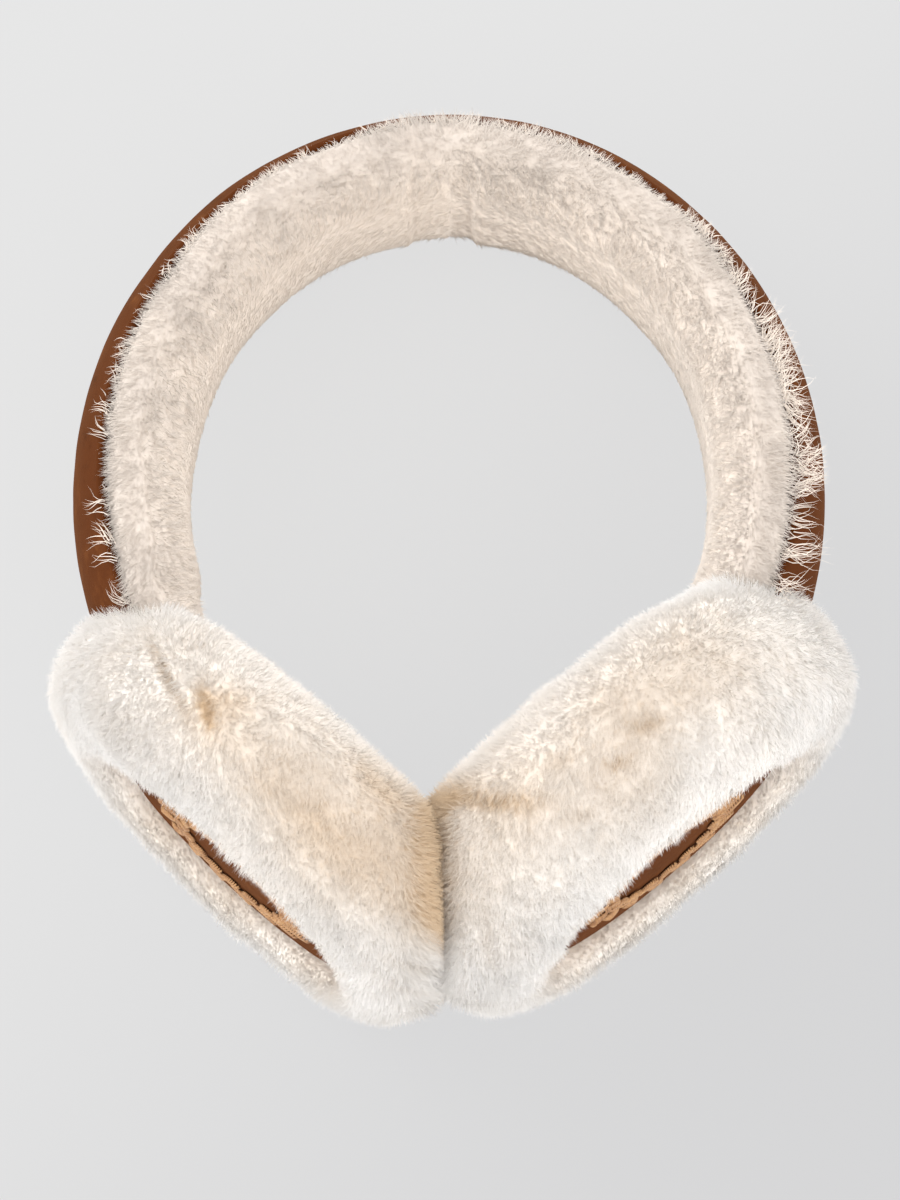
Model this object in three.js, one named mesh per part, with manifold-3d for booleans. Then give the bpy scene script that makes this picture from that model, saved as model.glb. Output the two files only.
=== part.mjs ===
// Sheepskin earmuffs laid on their back: an arched suede strap lined with deep fleece, and two round
// fleece cups that lean in until they meet, each with a suede panel set in a rolled cuff.
// Design axes: X to the wearer's side, Y up the arch, Z out of the front. All lengths are millimetres.
import * as THREE from "three";
import { mergeVertices } from "three/addons/utils/BufferGeometryUtils.js";
import Module from "manifold-3d";

const wasm = await Module();
wasm.setup();

// Driving dimensions
const BAND_HALF_WIDTH = 75.5;
const BAND_HALF_HEIGHT = 79;
const BAND_DEPTH = 45;
const BAND_CROWN = 6.5;
const SUEDE_THICKNESS = 2.4;
const TONGUE_LENGTH = 15;
const LINING_DEPTH = 26;
const CUP_RADIUS = 53;
const CUP_THICKNESS = 38;
const PANEL_RADIUS = 32;
const PANEL_THICKNESS = 2;
const PANEL_CROWN = 1.2;
const PANEL_RECESS = 5;
const CORE_RIM = 2;
const WREATH_RADIUS = 16;
const WREATH_WIDTH = 8;
const WREATH_HEIGHT = 1;
// How deep the wreath's scallops are, as a share of its width.
const WREATH_SCALLOP = 0.2;
const LOCK_HEIGHT = 4;
// The fleece's stated sizes are taken over its locks, this share of their height above their roots.
const LOCK_REACH = 0.75;
const CLEARANCE = 0.3;
const CUP_SQUASH = 3;

// How finely the shapes are faceted
const STRAP_STEPS = 46;
const STRAP_CELLS = 4;
const LINING_COLUMNS = 36;
const LINING_ROWS = 10;
const CUP_DETAIL = 5;
const CLEAR_CUP_DETAIL = 4;
const PANEL_SIDES = 36;
const WREATH_COLUMNS = 48;
const WREATH_LEAVES = 12;

// How a lock of fleece varies, as shares of LOCK_HEIGHT: its height, its fall along the comb, its sway, and
// how far its tip may stand past the stated size.
const SHORTEST_LOCK = 0.5;
const MOST_FALL = 1.1;
const MOST_SWAY = 0.5;
const TIP_SPREAD = 0.6;

// How each cup hangs on the strap. entry: where the strap goes in, in degrees round the arch from its top;
// lean: degrees that the cup leans in from hanging straight; along, across: its centre from the entry, as
// shares of the cup's radius and half thickness; loft: its thickness as a share of CUP_THICKNESS.
const CUPS = [
  { side: "left", entry: -107, lean: 47.6, along: 1.1, across: 0.32, loft: 0.96, seed: 11 },
  { side: "right", entry: 103, lean: 50, along: 1.13, across: 0.4, loft: 1.09, seed: 29 },
];
// Where the two cups meet, as a share of the band's half width from the middle.
const MEETING_SHARE = -0.043;

// The cup's section from the middle of its outer side to the middle of its ear side: shares of the radius
// of the cup or, in the recess, of the panel, and of the cup's half thickness.
const CUP_SECTION = [
  { place: "recess middle", of: PANEL_RADIUS, radius: 0, height: 0.3 },
  { place: "recess foot", of: PANEL_RADIUS, radius: 0.78, height: 0.4 },
  { place: "lip", of: PANEL_RADIUS, radius: 0.94, height: 0.93 },
  { place: "crest", of: CUP_RADIUS, radius: 0.74, height: 1 },
  { place: "outer shoulder", of: CUP_RADIUS, radius: 0.93, height: 0.66 },
  { place: "rim", of: CUP_RADIUS, radius: 1, height: 0 },
  { place: "ear shoulder", of: CUP_RADIUS, radius: 0.93, height: -0.66 },
  { place: "ear edge", of: CUP_RADIUS, radius: 0.72, height: -0.95 },
  { place: "ear side", of: CUP_RADIUS, radius: 0.35, height: -1 },
  { place: "ear middle", of: CUP_RADIUS, radius: 0, height: -1 },
];
// Swells and flats round each cup's rim: degrees round from the end that hangs lowest, and the share of the
// cup's radius on the left and on the right.
const CUP_REACH = [
  { around: 0, left: 0.93, right: 1.02 },
  { around: 60, left: 1, right: 1 },
  { around: 120, left: 1.01, right: 1.01 },
  { around: 180, left: 1.06, right: 1.06 },
  { around: 240, left: 1.01, right: 1.01 },
  { around: 300, left: 1, right: 1 },
];
// Partings and creases pressed into the fleece: degrees from the middle of the outer side (polar) and round
// the rim (around), their half sizes in degrees, and their depth as a share of the half thickness.
const DENTS = [
  { side: "left", polar: 92, around: 114, high: 9, wide: 5, depth: 0.16 },
  { side: "left", polar: 75, around: 35, high: 7, wide: 12, depth: 0.12 },
  { side: "right", polar: 106, around: 300, high: 5, wide: 14, depth: 0.2 },
  { side: "right", polar: 80, around: 330, high: 10, wide: 7, depth: 0.12 },
];
// The lining's fleece from the strap's edge to its deepest line: shares of half the band's depth from the
// middle, and of LINING_DEPTH in from the crown.
const LINING_SECTION = [
  { place: "edge", across: 1.03, depth: 0.3 },
  { place: "overlap", across: 1.14, depth: 0.39 },
  { place: "side", across: 1.17, depth: 0.56 },
  { place: "shoulder", across: 0.92, depth: 0.8 },
  { place: "inner side", across: 0.5, depth: 0.96 },
  { place: "deepest", across: 0, depth: 1 },
];
// The lining's depth along the arch: degrees from its top, share of LINING_DEPTH.
const LINING_SWELL = [
  { along: -120, depth: 0.98 },
  { along: -80, depth: 1.01 },
  { along: -50, depth: 0.94 },
  { along: -20, depth: 0.89 },
  { along: -2, depth: 0.84 },
  { along: 12, depth: 0.89 },
  { along: 50, depth: 0.94 },
  { along: 85, depth: 0.98 },
  { along: 120, depth: 0.98 },
];

// Finishes
const suedeFinish = () => new THREE.MeshStandardMaterial({ color: 0x7d4719, roughness: 0.95, metalness: 0 });
const fleeceFinish = () =>
  new THREE.MeshStandardMaterial({ color: 0xeee6dc, roughness: 1, metalness: 0, flatShading: true });
const threadFinish = () => new THREE.MeshStandardMaterial({ color: 0xb9824f, roughness: 0.7, metalness: 0 });

const radians = THREE.MathUtils.degToRad;

// A small seeded generator, so that the fleece is the same each time.
function randomFrom(seed) {
  let state = seed >>> 0;
  return () => {
    state = (Math.imul(state, 1664525) + 1013904223) >>> 0;
    return state / 4294967296;
  };
}

// A smooth step between the rows of a table whose key column rises.
function alongTable(rows, key, value, at) {
  const next = rows.findIndex((row) => row[key] > at);
  if (next === 0) return rows[0][value];
  if (next < 0) return rows[rows.length - 1][value];
  const before = rows[next - 1];
  const after = rows[next];
  const share = THREE.MathUtils.smoothstep(at, before[key], after[key]);
  return THREE.MathUtils.lerp(before[value], after[value], share);
}

// The same round a closed ring of 360 degrees.
function roundTable(rows, key, value, at) {
  const turn = THREE.MathUtils.euclideanModulo(at, 360);
  const closed = [...rows, { ...rows[0], [key]: rows[0][key] + 360 }];
  return alongTable(closed, key, value, turn);
}

// A mesh from a list of points and a list of triangles of their numbers.
function geometryOf(points, triangles) {
  const geometry = new THREE.BufferGeometry();
  geometry.setAttribute("position", new THREE.Float32BufferAttribute(points.flatMap((p) => p.toArray()), 3));
  geometry.setIndex(triangles.flat());
  return geometry;
}

// The solid that a closed mesh bounds.
function solidOf(geometry) {
  const bare = geometry.clone();
  bare.deleteAttribute("normal");
  bare.deleteAttribute("uv");
  const merged = mergeVertices(bare, 1e-4);
  const vertProperties = merged.attributes.position.array;
  const triVerts = new Uint32Array(merged.index.array);
  return new wasm.Manifold(new wasm.Mesh({ numProp: 3, vertProperties, triVerts }));
}

// The largest of a solid's bodies, without the offcuts that a cut leaves.
function mainBody(solid) {
  return solid.decompose().reduce((best, body) => (body.volume() > best.volume() ? body : best));
}

// The faceted mesh of a solid.
function shapeOf(solid) {
  const { vertProperties, triVerts } = solid.getMesh();
  const geometry = new THREE.BufferGeometry();
  geometry.setAttribute("position", new THREE.BufferAttribute(vertProperties, 3));
  geometry.setIndex(new THREE.BufferAttribute(triVerts, 1));
  const faceted = geometry.toNonIndexed();
  faceted.computeVertexNormals();
  return faceted;
}

// A block that fills the side of a plane that its normal points away from, in the frame of a matrix.
function blockBehind(normal, point, matrix) {
  const reach = 8 * Math.max(BAND_HALF_HEIGHT, CUP_RADIUS, BAND_HALF_WIDTH);
  const block = new THREE.BoxGeometry(reach, reach, reach);
  block.translate(0, 0, -reach / 2);
  const turn = new THREE.Quaternion().setFromUnitVectors(new THREE.Vector3(0, 0, 1), normal);
  block.applyQuaternion(turn);
  block.translate(...point.toArray());
  block.applyMatrix4(matrix.clone().invert());
  return solidOf(block);
}

// A closed ring or strip of stations, each a closed loop of points. Cells whose row is furry are raised
// into a lock, which leans by the vector that lockAt gives.
function loftedShape(stations, closed, furry, lockAt) {
  const rows = stations[0].length;
  const points = stations.flat();
  const triangles = [];
  const spans = closed ? stations.length : stations.length - 1;
  for (let i = 0; i < spans; i++) {
    for (let j = 0; j < rows; j++) {
      const iNext = (i + 1) % stations.length;
      const jNext = (j + 1) % rows;
      const corners = [i * rows + j, iNext * rows + j, iNext * rows + jNext, i * rows + jNext];
      if (furry(j)) {
        const middle = new THREE.Vector3();
        corners.forEach((c) => middle.addScaledVector(points[c], 0.25));
        const a = points[corners[2]].clone().sub(points[corners[0]]);
        const b = points[corners[3]].clone().sub(points[corners[1]]);
        const outward = a.cross(b).normalize();
        const tip = points.push(middle.clone().add(lockAt(outward, middle))) - 1;
        corners.forEach((c, k) => triangles.push([c, corners[(k + 1) % 4], tip]));
      } else {
        triangles.push([corners[0], corners[1], corners[2]], [corners[0], corners[2], corners[3]]);
      }
    }
  }
  if (!closed) {
    const last = (stations.length - 1) * rows;
    const flat = stations.map((s) => s.reduce((sum, p) => sum.add(p), new THREE.Vector3()).divideScalar(rows));
    const startHub = points.push(flat[0]) - 1;
    const endHub = points.push(flat[flat.length - 1]) - 1;
    for (let j = 0; j < rows; j++) {
      const jNext = (j + 1) % rows;
      triangles.push([startHub, j, jNext], [endHub, last + jNext, last + j]);
    }
  }
  return geometryOf(points, triangles);
}

// The arch: a point at an angle from its top, a distance out from the strap's crown line and a distance
// forward of the middle.
function archPoint(degrees, out, forward) {
  const angle = radians(degrees);
  const outX = BAND_HALF_HEIGHT * Math.sin(angle);
  const outY = BAND_HALF_WIDTH * Math.cos(angle);
  const size = Math.hypot(outX, outY);
  const x = BAND_HALF_WIDTH * Math.sin(angle) + (out * outX) / size;
  const y = BAND_HALF_HEIGHT * Math.cos(angle) + (out * outY) / size;
  return new THREE.Vector3(x, y, forward);
}

const rootDepth = LOCK_HEIGHT * LOCK_REACH;
const halfDepth = BAND_DEPTH / 2;
const tongueTurn = THREE.MathUtils.radToDeg(TONGUE_LENGTH / BAND_HALF_WIDTH);
const crownDrop = (share) => BAND_CROWN * share * share;

// The strap, or the pocket that it fits when grown by a clearance.
function strapShape(grow) {
  const stations = [];
  const from = CUPS[0].entry - tongueTurn - THREE.MathUtils.radToDeg(grow / BAND_HALF_WIDTH);
  const to = CUPS[1].entry + tongueTurn + THREE.MathUtils.radToDeg(grow / BAND_HALF_WIDTH);
  for (let i = 0; i <= STRAP_STEPS; i++) {
    const at = THREE.MathUtils.lerp(from, to, i / STRAP_STEPS);
    const loop = [];
    for (let j = 0; j <= STRAP_CELLS; j++) {
      const share = (2 * j) / STRAP_CELLS - 1;
      loop.push(archPoint(at, grow - crownDrop(share), share * (halfDepth + grow)));
    }
    for (let j = STRAP_CELLS; j >= 0; j--) {
      const share = (2 * j) / STRAP_CELLS - 1;
      loop.push(archPoint(at, -SUEDE_THICKNESS - grow - crownDrop(share), share * (halfDepth + grow)));
    }
    stations.push(loop.reverse());
  }
  return loftedShape(stations, false, () => false);
}

// The fleece lining: its back lies on the strap, and its front bulges in towards the head.
function liningShape() {
  const random = randomFrom(7);
  const bulge = LINING_SECTION.map((row) => new THREE.Vector2(row.across * halfDepth, -row.depth));
  const mirrored = bulge.slice(0, -1).reverse().map((p) => new THREE.Vector2(-p.x, p.y));
  const curve = new THREE.SplineCurve([...bulge, ...mirrored]);
  const furLine = curve.getSpacedPoints(LINING_ROWS);
  const backShares = [-1, -0.5, 0, 0.5, 1];
  const from = CUPS[0].entry - tongueTurn;
  const to = CUPS[1].entry + tongueTurn;
  const stations = [];
  for (let i = 0; i <= LINING_COLUMNS; i++) {
    const at = THREE.MathUtils.lerp(from, to, i / LINING_COLUMNS);
    const depth = (LINING_DEPTH - rootDepth) * alongTable(LINING_SWELL, "along", "depth", at);
    const loop = furLine.map((p) => archPoint(at, p.y * depth, p.x));
    for (const share of backShares) {
      const out = -SUEDE_THICKNESS - CLEARANCE - crownDrop(share);
      loop.push(archPoint(at, out, share * (halfDepth + CLEARANCE)));
    }
    stations.push(loop.reverse());
  }
  const hidden = backShares.length;
  const furry = (j) => j >= hidden && j < hidden + LINING_ROWS;
  return loftedShape(stations, false, furry, (outward, middle) => {
    const down = new THREE.Vector3(middle.y, -middle.x, 0).normalize();
    if (middle.x < 0) down.negate();
    const height = LOCK_HEIGHT * THREE.MathUtils.lerp(SHORTEST_LOCK, 1, random());
    const fall = LOCK_HEIGHT * THREE.MathUtils.lerp(0, MOST_FALL, random());
    const sway = LOCK_HEIGHT * THREE.MathUtils.lerp(-MOST_SWAY, MOST_SWAY, random());
    return outward.multiplyScalar(height).addScaledVector(down, fall).add(new THREE.Vector3(0, 0, sway));
  });
}

// The cup's section as a curve whose halves run over the outer side and over the ear side.
function cupSection(loft) {
  const points = CUP_SECTION.map(
    (row) => new THREE.Vector2(row.radius * row.of, (row.height * loft * CUP_THICKNESS) / 2),
  );
  return new THREE.SplineCurve(points);
}

// A ball of even triangles, as directions from its middle.
function evenBall(detail) {
  const ball = new THREE.IcosahedronGeometry(1, detail);
  ball.deleteAttribute("normal");
  ball.deleteAttribute("uv");
  return mergeVertices(ball, 1e-4);
}

// The fleece body of a cup, before it is parted into pad and cuff. Without locks it is the smooth body
// that clears them.
function cupBody(cup, locks) {
  const ball = evenBall(locks ? CUP_DETAIL : CLEAR_CUP_DETAIL);
  const section = cupSection(cup.loft);
  const random = randomFrom(cup.seed);
  const dents = DENTS.filter((row) => row.side === cup.side);
  const surface = (direction) => {
    const polar = Math.acos(THREE.MathUtils.clamp(direction.z, -1, 1));
    const around = Math.atan2(direction.y, direction.x);
    const place = section.getPointAt(polar / Math.PI);
    const tangent = section.getTangentAt(polar / Math.PI);
    const degrees = THREE.MathUtils.radToDeg(around);
    const reach = roundTable(CUP_REACH, "around", cup.side, degrees);
    const pressed = dents.reduce((sum, row) => {
      const up = (THREE.MathUtils.radToDeg(polar) - row.polar) / row.high;
      const off = THREE.MathUtils.euclideanModulo(degrees - row.around + 180, 360) - 180;
      const side = off / row.wide;
      return sum + row.depth * Math.exp(-up * up - side * side);
    }, 0);
    const root = -rootDepth - (pressed * cup.loft * CUP_THICKNESS) / 2;
    const out = locks ? root : CLEARANCE + TIP_SPREAD * LOCK_HEIGHT;
    const r = place.x * reach + -tangent.y * out;
    const height = place.y + tangent.x * out;
    return new THREE.Vector3(r * Math.cos(around), r * Math.sin(around), height);
  };
  const position = ball.attributes.position;
  const directions = [];
  for (let i = 0; i < position.count; i++) {
    directions.push(new THREE.Vector3().fromBufferAttribute(position, i).normalize());
  }
  const points = directions.map(surface);
  const triangles = [];
  const index = ball.index.array;
  for (let i = 0; i < index.length; i += 3) {
    const [a, b, c] = index.slice(i, i + 3);
    if (!locks) {
      triangles.push([a, b, c]);
      continue;
    }
    const heart = new THREE.Vector3().add(directions[a]).add(directions[b]).add(directions[c]).normalize();
    const outward = points[b].clone().sub(points[a]).cross(points[c].clone().sub(points[a])).normalize();
    const height = LOCK_HEIGHT * THREE.MathUtils.lerp(SHORTEST_LOCK, 1, random());
    const sway = new THREE.Vector3(random() - 0.5, random() - 0.5, random() - 0.5);
    const tip = surface(heart).addScaledVector(outward, height);
    tip.addScaledVector(sway, LOCK_HEIGHT * MOST_SWAY);
    const top = points.push(tip) - 1;
    triangles.push([a, b, top], [b, c, top], [c, a, top]);
  }
  return solidOf(geometryOf(points, triangles));
}

// A disc turned about the cup's axis, from rows of radius and height.
function turned(rows) {
  const profile = rows.map(([r, height]) => new THREE.Vector2(r, height));
  return new THREE.LatheGeometry(profile, PANEL_SIDES).rotateX(Math.PI / 2);
}

// How high the suede panel's top lies above the cup's middle, at a radius.
const panelTop = (loft, r) => {
  const crest = (loft * CUP_THICKNESS) / 2;
  return crest - PANEL_RECESS - PANEL_CROWN * (r / PANEL_RADIUS) ** 2;
};

// The suede panel, or the seat that it needs in the cuff: from the foot's height to the panel's crowned
// top, each grown by a clearance.
function panelShape(loft, grow, foot) {
  const rings = [0, 0.35, 0.7, 1].map((share) => share * PANEL_RADIUS);
  const widths = rings.map((r) => (r === PANEL_RADIUS ? r + grow : r));
  const top = rings.map((r, i) => [widths[i], panelTop(loft, r) + grow]);
  const bottom = rings.map((r, i) => [widths[i], foot(r)]);
  return turned([...bottom, ...top.reverse()]);
}

// The embroidered wreath: a scalloped ring that lies on the crowned panel.
function wreathShape(loft) {
  const stations = [];
  for (let i = 0; i < WREATH_COLUMNS; i++) {
    const angle = (2 * Math.PI * i) / WREATH_COLUMNS;
    const wave = Math.cos(WREATH_LEAVES * angle);
    const half = (WREATH_WIDTH / 2) * (1 - WREATH_SCALLOP + WREATH_SCALLOP * wave);
    const at = (r, rise) => {
      const height = panelTop(loft, r) + CLEARANCE + rise;
      return new THREE.Vector3(r * Math.cos(angle), r * Math.sin(angle), height);
    };
    stations.push([at(WREATH_RADIUS + half, 0), at(WREATH_RADIUS, WREATH_HEIGHT), at(WREATH_RADIUS - half, 0)]);
  }
  return loftedShape(stations, true, () => false);
}

// Where a cup hangs: its centre, and its axes along its lean, across its front and out of its panel.
function cupPlace(cup) {
  const inward = cup.side === "left" ? 1 : -1;
  const lean = radians(cup.lean);
  const down = new THREE.Vector3(inward * Math.sin(lean), -Math.cos(lean), 0);
  const out = new THREE.Vector3(-inward * Math.cos(lean), -Math.sin(lean), 0);
  const across = new THREE.Vector3().crossVectors(out, down);
  const centre = archPoint(cup.entry, 0, 0);
  centre.addScaledVector(down, cup.along * CUP_RADIUS);
  centre.addScaledVector(out, (cup.across * CUP_THICKNESS) / 2);
  return new THREE.Matrix4().makeBasis(down, across, out).setPosition(centre);
}

// Makes the four pieces of a cup in its own frame, clear of the strap's tongue and of the other cup.
function cupPieces(cup) {
  const matrix = cupPlace(cup);
  const axis = new THREE.Vector3(0, 0, 1);
  const parting = axis.clone().multiplyScalar(CLEARANCE / 2);
  const own = new THREE.Matrix4();
  const inward = cup.side === "left" ? -1 : 1;
  const meeting = new THREE.Vector3(MEETING_SHARE * BAND_HALF_WIDTH + (inward * CLEARANCE) / 2, 0, 0);
  const otherCup = blockBehind(new THREE.Vector3(inward, 0, 0), meeting, matrix);
  const pocket = solidOf(strapShape(CLEARANCE).applyMatrix4(matrix.clone().invert()));
  const body = cupBody(cup, true).subtract(otherCup);
  const earSide = blockBehind(axis, parting, own);
  const outerSide = blockBehind(axis.clone().negate(), parting.clone().negate(), own);
  const underPanel = (r) => panelTop(cup.loft, r) - PANEL_THICKNESS;
  const seat = solidOf(panelShape(cup.loft, CLEARANCE, () => -CLEARANCE));
  const coreRadius = PANEL_RADIUS - CORE_RIM;
  const core = solidOf(turned([
    [0, -CORE_RIM],
    [coreRadius, -CORE_RIM],
    [coreRadius, underPanel(PANEL_RADIUS) - CLEARANCE],
    [0, underPanel(0) - CLEARANCE],
  ]));
  return {
    matrix,
    cuff: mainBody(body.subtract(earSide).subtract(seat).subtract(pocket)),
    pad: mainBody(body.subtract(outerSide).add(core).subtract(pocket)),
    panel: solidOf(panelShape(cup.loft, 0, underPanel)).subtract(pocket),
    embroidery: solidOf(wreathShape(cup.loft)),
    keepOut: cupBody(cup, false),
  };
}

// How far the arch drops back when the earmuffs lie on a table: the cups are pressed in by their squash,
// and the arch sinks into its fleece until the strap's edge is a clearance above the table.
function restingTilt(cupPoints, strapPoints) {
  const lowest = (points, tilt) => points.reduce(
    (low, p) => Math.min(low, p.z * Math.cos(tilt) - p.y * Math.sin(tilt)), Infinity,
  );
  let low = 0;
  let high = Math.PI / 4;
  for (let i = 0; i < 40; i++) {
    const tilt = (low + high) / 2;
    const cups = lowest(cupPoints, tilt) + CUP_SQUASH + LOCK_HEIGHT;
    const band = lowest(strapPoints, tilt) - CLEARANCE;
    if (band > cups) low = tilt;
    else high = tilt;
  }
  return { tilt: low, floor: lowest(cupPoints, low) + CUP_SQUASH + LOCK_HEIGHT };
}

// The corners of a solid, placed by a matrix.
function pointsOf(solid, matrix) {
  const { vertProperties } = solid.getMesh();
  const points = [];
  for (let i = 0; i < vertProperties.length; i += 3) {
    points.push(new THREE.Vector3().fromArray(vertProperties, i).applyMatrix4(matrix));
  }
  return points;
}

// Adds a solid to a group as a named mesh of its own finish.
function addPiece(group, name, solid, finish) {
  const mesh = new THREE.Mesh(shapeOf(solid), finish);
  mesh.name = name;
  group.add(mesh);
}

const earmuffs = new THREE.Group();
const cups = CUPS.map((cup) => ({ ...cup, ...cupPieces(cup) }));
const plain = new THREE.Matrix4();
const strap = solidOf(strapShape(0));
let lining = solidOf(liningShape());
for (const cup of cups) lining = lining.subtract(cup.keepOut.transform(cup.matrix.toArray()));
lining = mainBody(lining);

const cupPoints = cups.flatMap((cup) => [...pointsOf(cup.pad, cup.matrix), ...pointsOf(cup.cuff, cup.matrix)]);
const { tilt, floor } = restingTilt(cupPoints, pointsOf(strap, plain));
const tableUp = new THREE.Vector3(0, -Math.sin(tilt), Math.cos(tilt));
const tablePoint = tableUp.clone().multiplyScalar(floor);
const trimmed = (solid, matrix) => mainBody(solid.subtract(blockBehind(tableUp, tablePoint, matrix)));

addPiece(earmuffs, "headband_suede", strap, suedeFinish());
addPiece(earmuffs, "headband_fur", trimmed(lining, plain), fleeceFinish());
for (const cup of cups) {
  const group = new THREE.Group();
  group.applyMatrix4(cup.matrix);
  addPiece(group, cup.side + "_cup_pad", trimmed(cup.pad, cup.matrix), fleeceFinish());
  addPiece(group, cup.side + "_cup_cuff", trimmed(cup.cuff, cup.matrix), fleeceFinish());
  addPiece(group, cup.side + "_cup_panel", cup.panel, suedeFinish());
  addPiece(group, cup.side + "_cup_embroidery", cup.embroidery, threadFinish());
  earmuffs.add(group);
}

// Laid on the table, with the origin at the middle of the bottom of the whole.
earmuffs.rotation.x = -tilt;
earmuffs.updateMatrixWorld(true);
const extent = new THREE.Box3().setFromObject(earmuffs, true);
const middle = extent.getCenter(new THREE.Vector3());
earmuffs.position.set(-middle.x, -middle.y, -extent.min.z);

export default earmuffs;
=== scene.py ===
"""Sheepskin earmuffs on a pale table, seen from above.

A suede strap arches over a deep fleece lining and ends in two round fleece cups, which lean in until they
touch. Each cup has a pad on its ear side, a rolled cuff on its outer side and, inside the cuff, a sunken
suede panel with a stitched wreath. Shapes are worked out in millimetres in the earmuffs' own axes (X to
the right, Y up the arch, Z out of the front) and laid on the table as metres at the end.
"""

import itertools
import logging
import math
from collections.abc import Callable, Sequence
from dataclasses import dataclass, field, replace
from enum import Enum

import bpy
import numpy as np
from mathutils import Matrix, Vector
from mathutils.kdtree import KDTree


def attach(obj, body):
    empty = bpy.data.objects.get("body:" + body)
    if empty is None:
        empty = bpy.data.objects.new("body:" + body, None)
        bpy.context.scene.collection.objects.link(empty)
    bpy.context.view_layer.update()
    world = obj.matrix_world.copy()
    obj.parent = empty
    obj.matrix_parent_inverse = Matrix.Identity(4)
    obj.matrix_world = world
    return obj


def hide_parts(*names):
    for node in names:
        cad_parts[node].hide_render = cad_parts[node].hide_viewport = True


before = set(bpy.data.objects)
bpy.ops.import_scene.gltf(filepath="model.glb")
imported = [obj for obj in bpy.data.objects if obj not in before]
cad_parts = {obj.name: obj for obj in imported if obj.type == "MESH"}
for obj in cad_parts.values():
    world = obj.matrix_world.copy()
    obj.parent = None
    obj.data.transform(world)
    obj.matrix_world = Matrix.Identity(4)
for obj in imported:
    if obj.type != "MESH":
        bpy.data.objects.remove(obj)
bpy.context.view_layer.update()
log = logging.getLogger("earmuffs")

Array = np.ndarray
Table = tuple[tuple[float, float], ...]
Colour = tuple[float, float, float]
MM = 0.001
SKIN_TONE = 0.5
SKIN_BAND = 0.15
LEAST_FACING = 0.08
HAIR_REST = 0.15
FRONT = np.array([0.0, 0.0, 1.0])


class Side(Enum):
    """The two sides of the earmuffs, with the sign of X that points away from the head."""

    LEFT = -1
    RIGHT = 1


class Mark(Enum):
    """What each point of a fleece carries for its finish."""

    TONE = "fleece_tone"
    # The second mark holds the fleece's own tone together with painted light and shade: painted shade in the
    # cups' cleft and recesses and on the strap's edges, painted light on the lining's inside.
    WARMTH = "fleece_warmth"
    TINT = "fleece_tint"


# Numbers over a surface


def unit(vectors: Array) -> Array:
    """Scales vectors to a length of one.

    Args:
        vectors: Any array whose last axis is X, Y, Z.

    Returns:
        The same directions, each one unit long.
    """
    length = np.linalg.norm(vectors, axis=-1, keepdims=True)
    return vectors / np.maximum(length, 1e-9)


def lattice(cells: Array, seed: int) -> Array:
    """Gives each whole-number cell a steady random number.

    Args:
        cells: Whole numbers, three to a row.
        seed: Picks one of many such fields.

    Returns:
        One number from 0 to 1 for each row.
    """
    whole = cells.astype(np.int64).astype(np.uint32)
    mixed = whole[..., 0] * np.uint32(374761393) + whole[..., 1] * np.uint32(668265263)
    mixed += whole[..., 2] * np.uint32(2246822519) + np.uint32(seed * 97 + 13)
    mixed = (mixed ^ (mixed >> np.uint32(13))) * np.uint32(1274126177)
    mixed = (mixed ^ (mixed >> np.uint32(16))) * np.uint32(2654435761)
    return (mixed ^ (mixed >> np.uint32(15))).astype(np.float64) / 4294967295.0


def wander(points: Array, size: float, seed: int) -> Array:
    """A smooth random field.

    Args:
        points: Places in millimetres, X, Y, Z to a row.
        size: How far apart its hills are, in millimetres.
        seed: Picks one of many such fields.

    Returns:
        One number from -1 to 1 for each row.
    """
    grid = points / size
    cell = np.floor(grid)
    part = grid - cell
    part = part * part * (3.0 - 2.0 * part)
    total = np.zeros(points.shape[:-1])
    for corner in itertools.product((0, 1), repeat=3):
        near = np.where(np.array(corner) == 1, part, 1.0 - part).prod(axis=-1)
        total += near * lattice(cell + np.array(corner), seed)
    return 2.0 * total - 1.0


def wander3(points: Array, size: float, seed: int) -> Array:
    """Three fields of wander side by side, as a vector for each point."""
    return np.stack([wander(points, size, seed + k) for k in range(3)], axis=-1)


def eased(at: Array, table: Sequence[tuple[float, float]]) -> Array:
    """Reads a table of steps, easing from each row to the next.

    Args:
        at: Where to read it.
        table: Rows of key and value whose keys rise.

    Returns:
        The value at each place; before the first row and after the last it stays as there.
    """
    keys, values = np.array(table, dtype=float).T
    at = np.clip(at, keys[0], keys[-1])
    row = np.clip(np.searchsorted(keys, at, side="right") - 1, 0, len(keys) - 2)
    share = (at - keys[row]) / (keys[row + 1] - keys[row])
    share = share * share * (3.0 - 2.0 * share)
    return values[row] + (values[row + 1] - values[row]) * share


def eased_round(degrees: Array, table: Sequence[tuple[float, float]]) -> Array:
    """Reads a table round a full turn, whose first row is at 0 degrees."""
    return eased(np.mod(degrees, 360.0), [*table, (360.0, table[0][1])])


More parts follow.
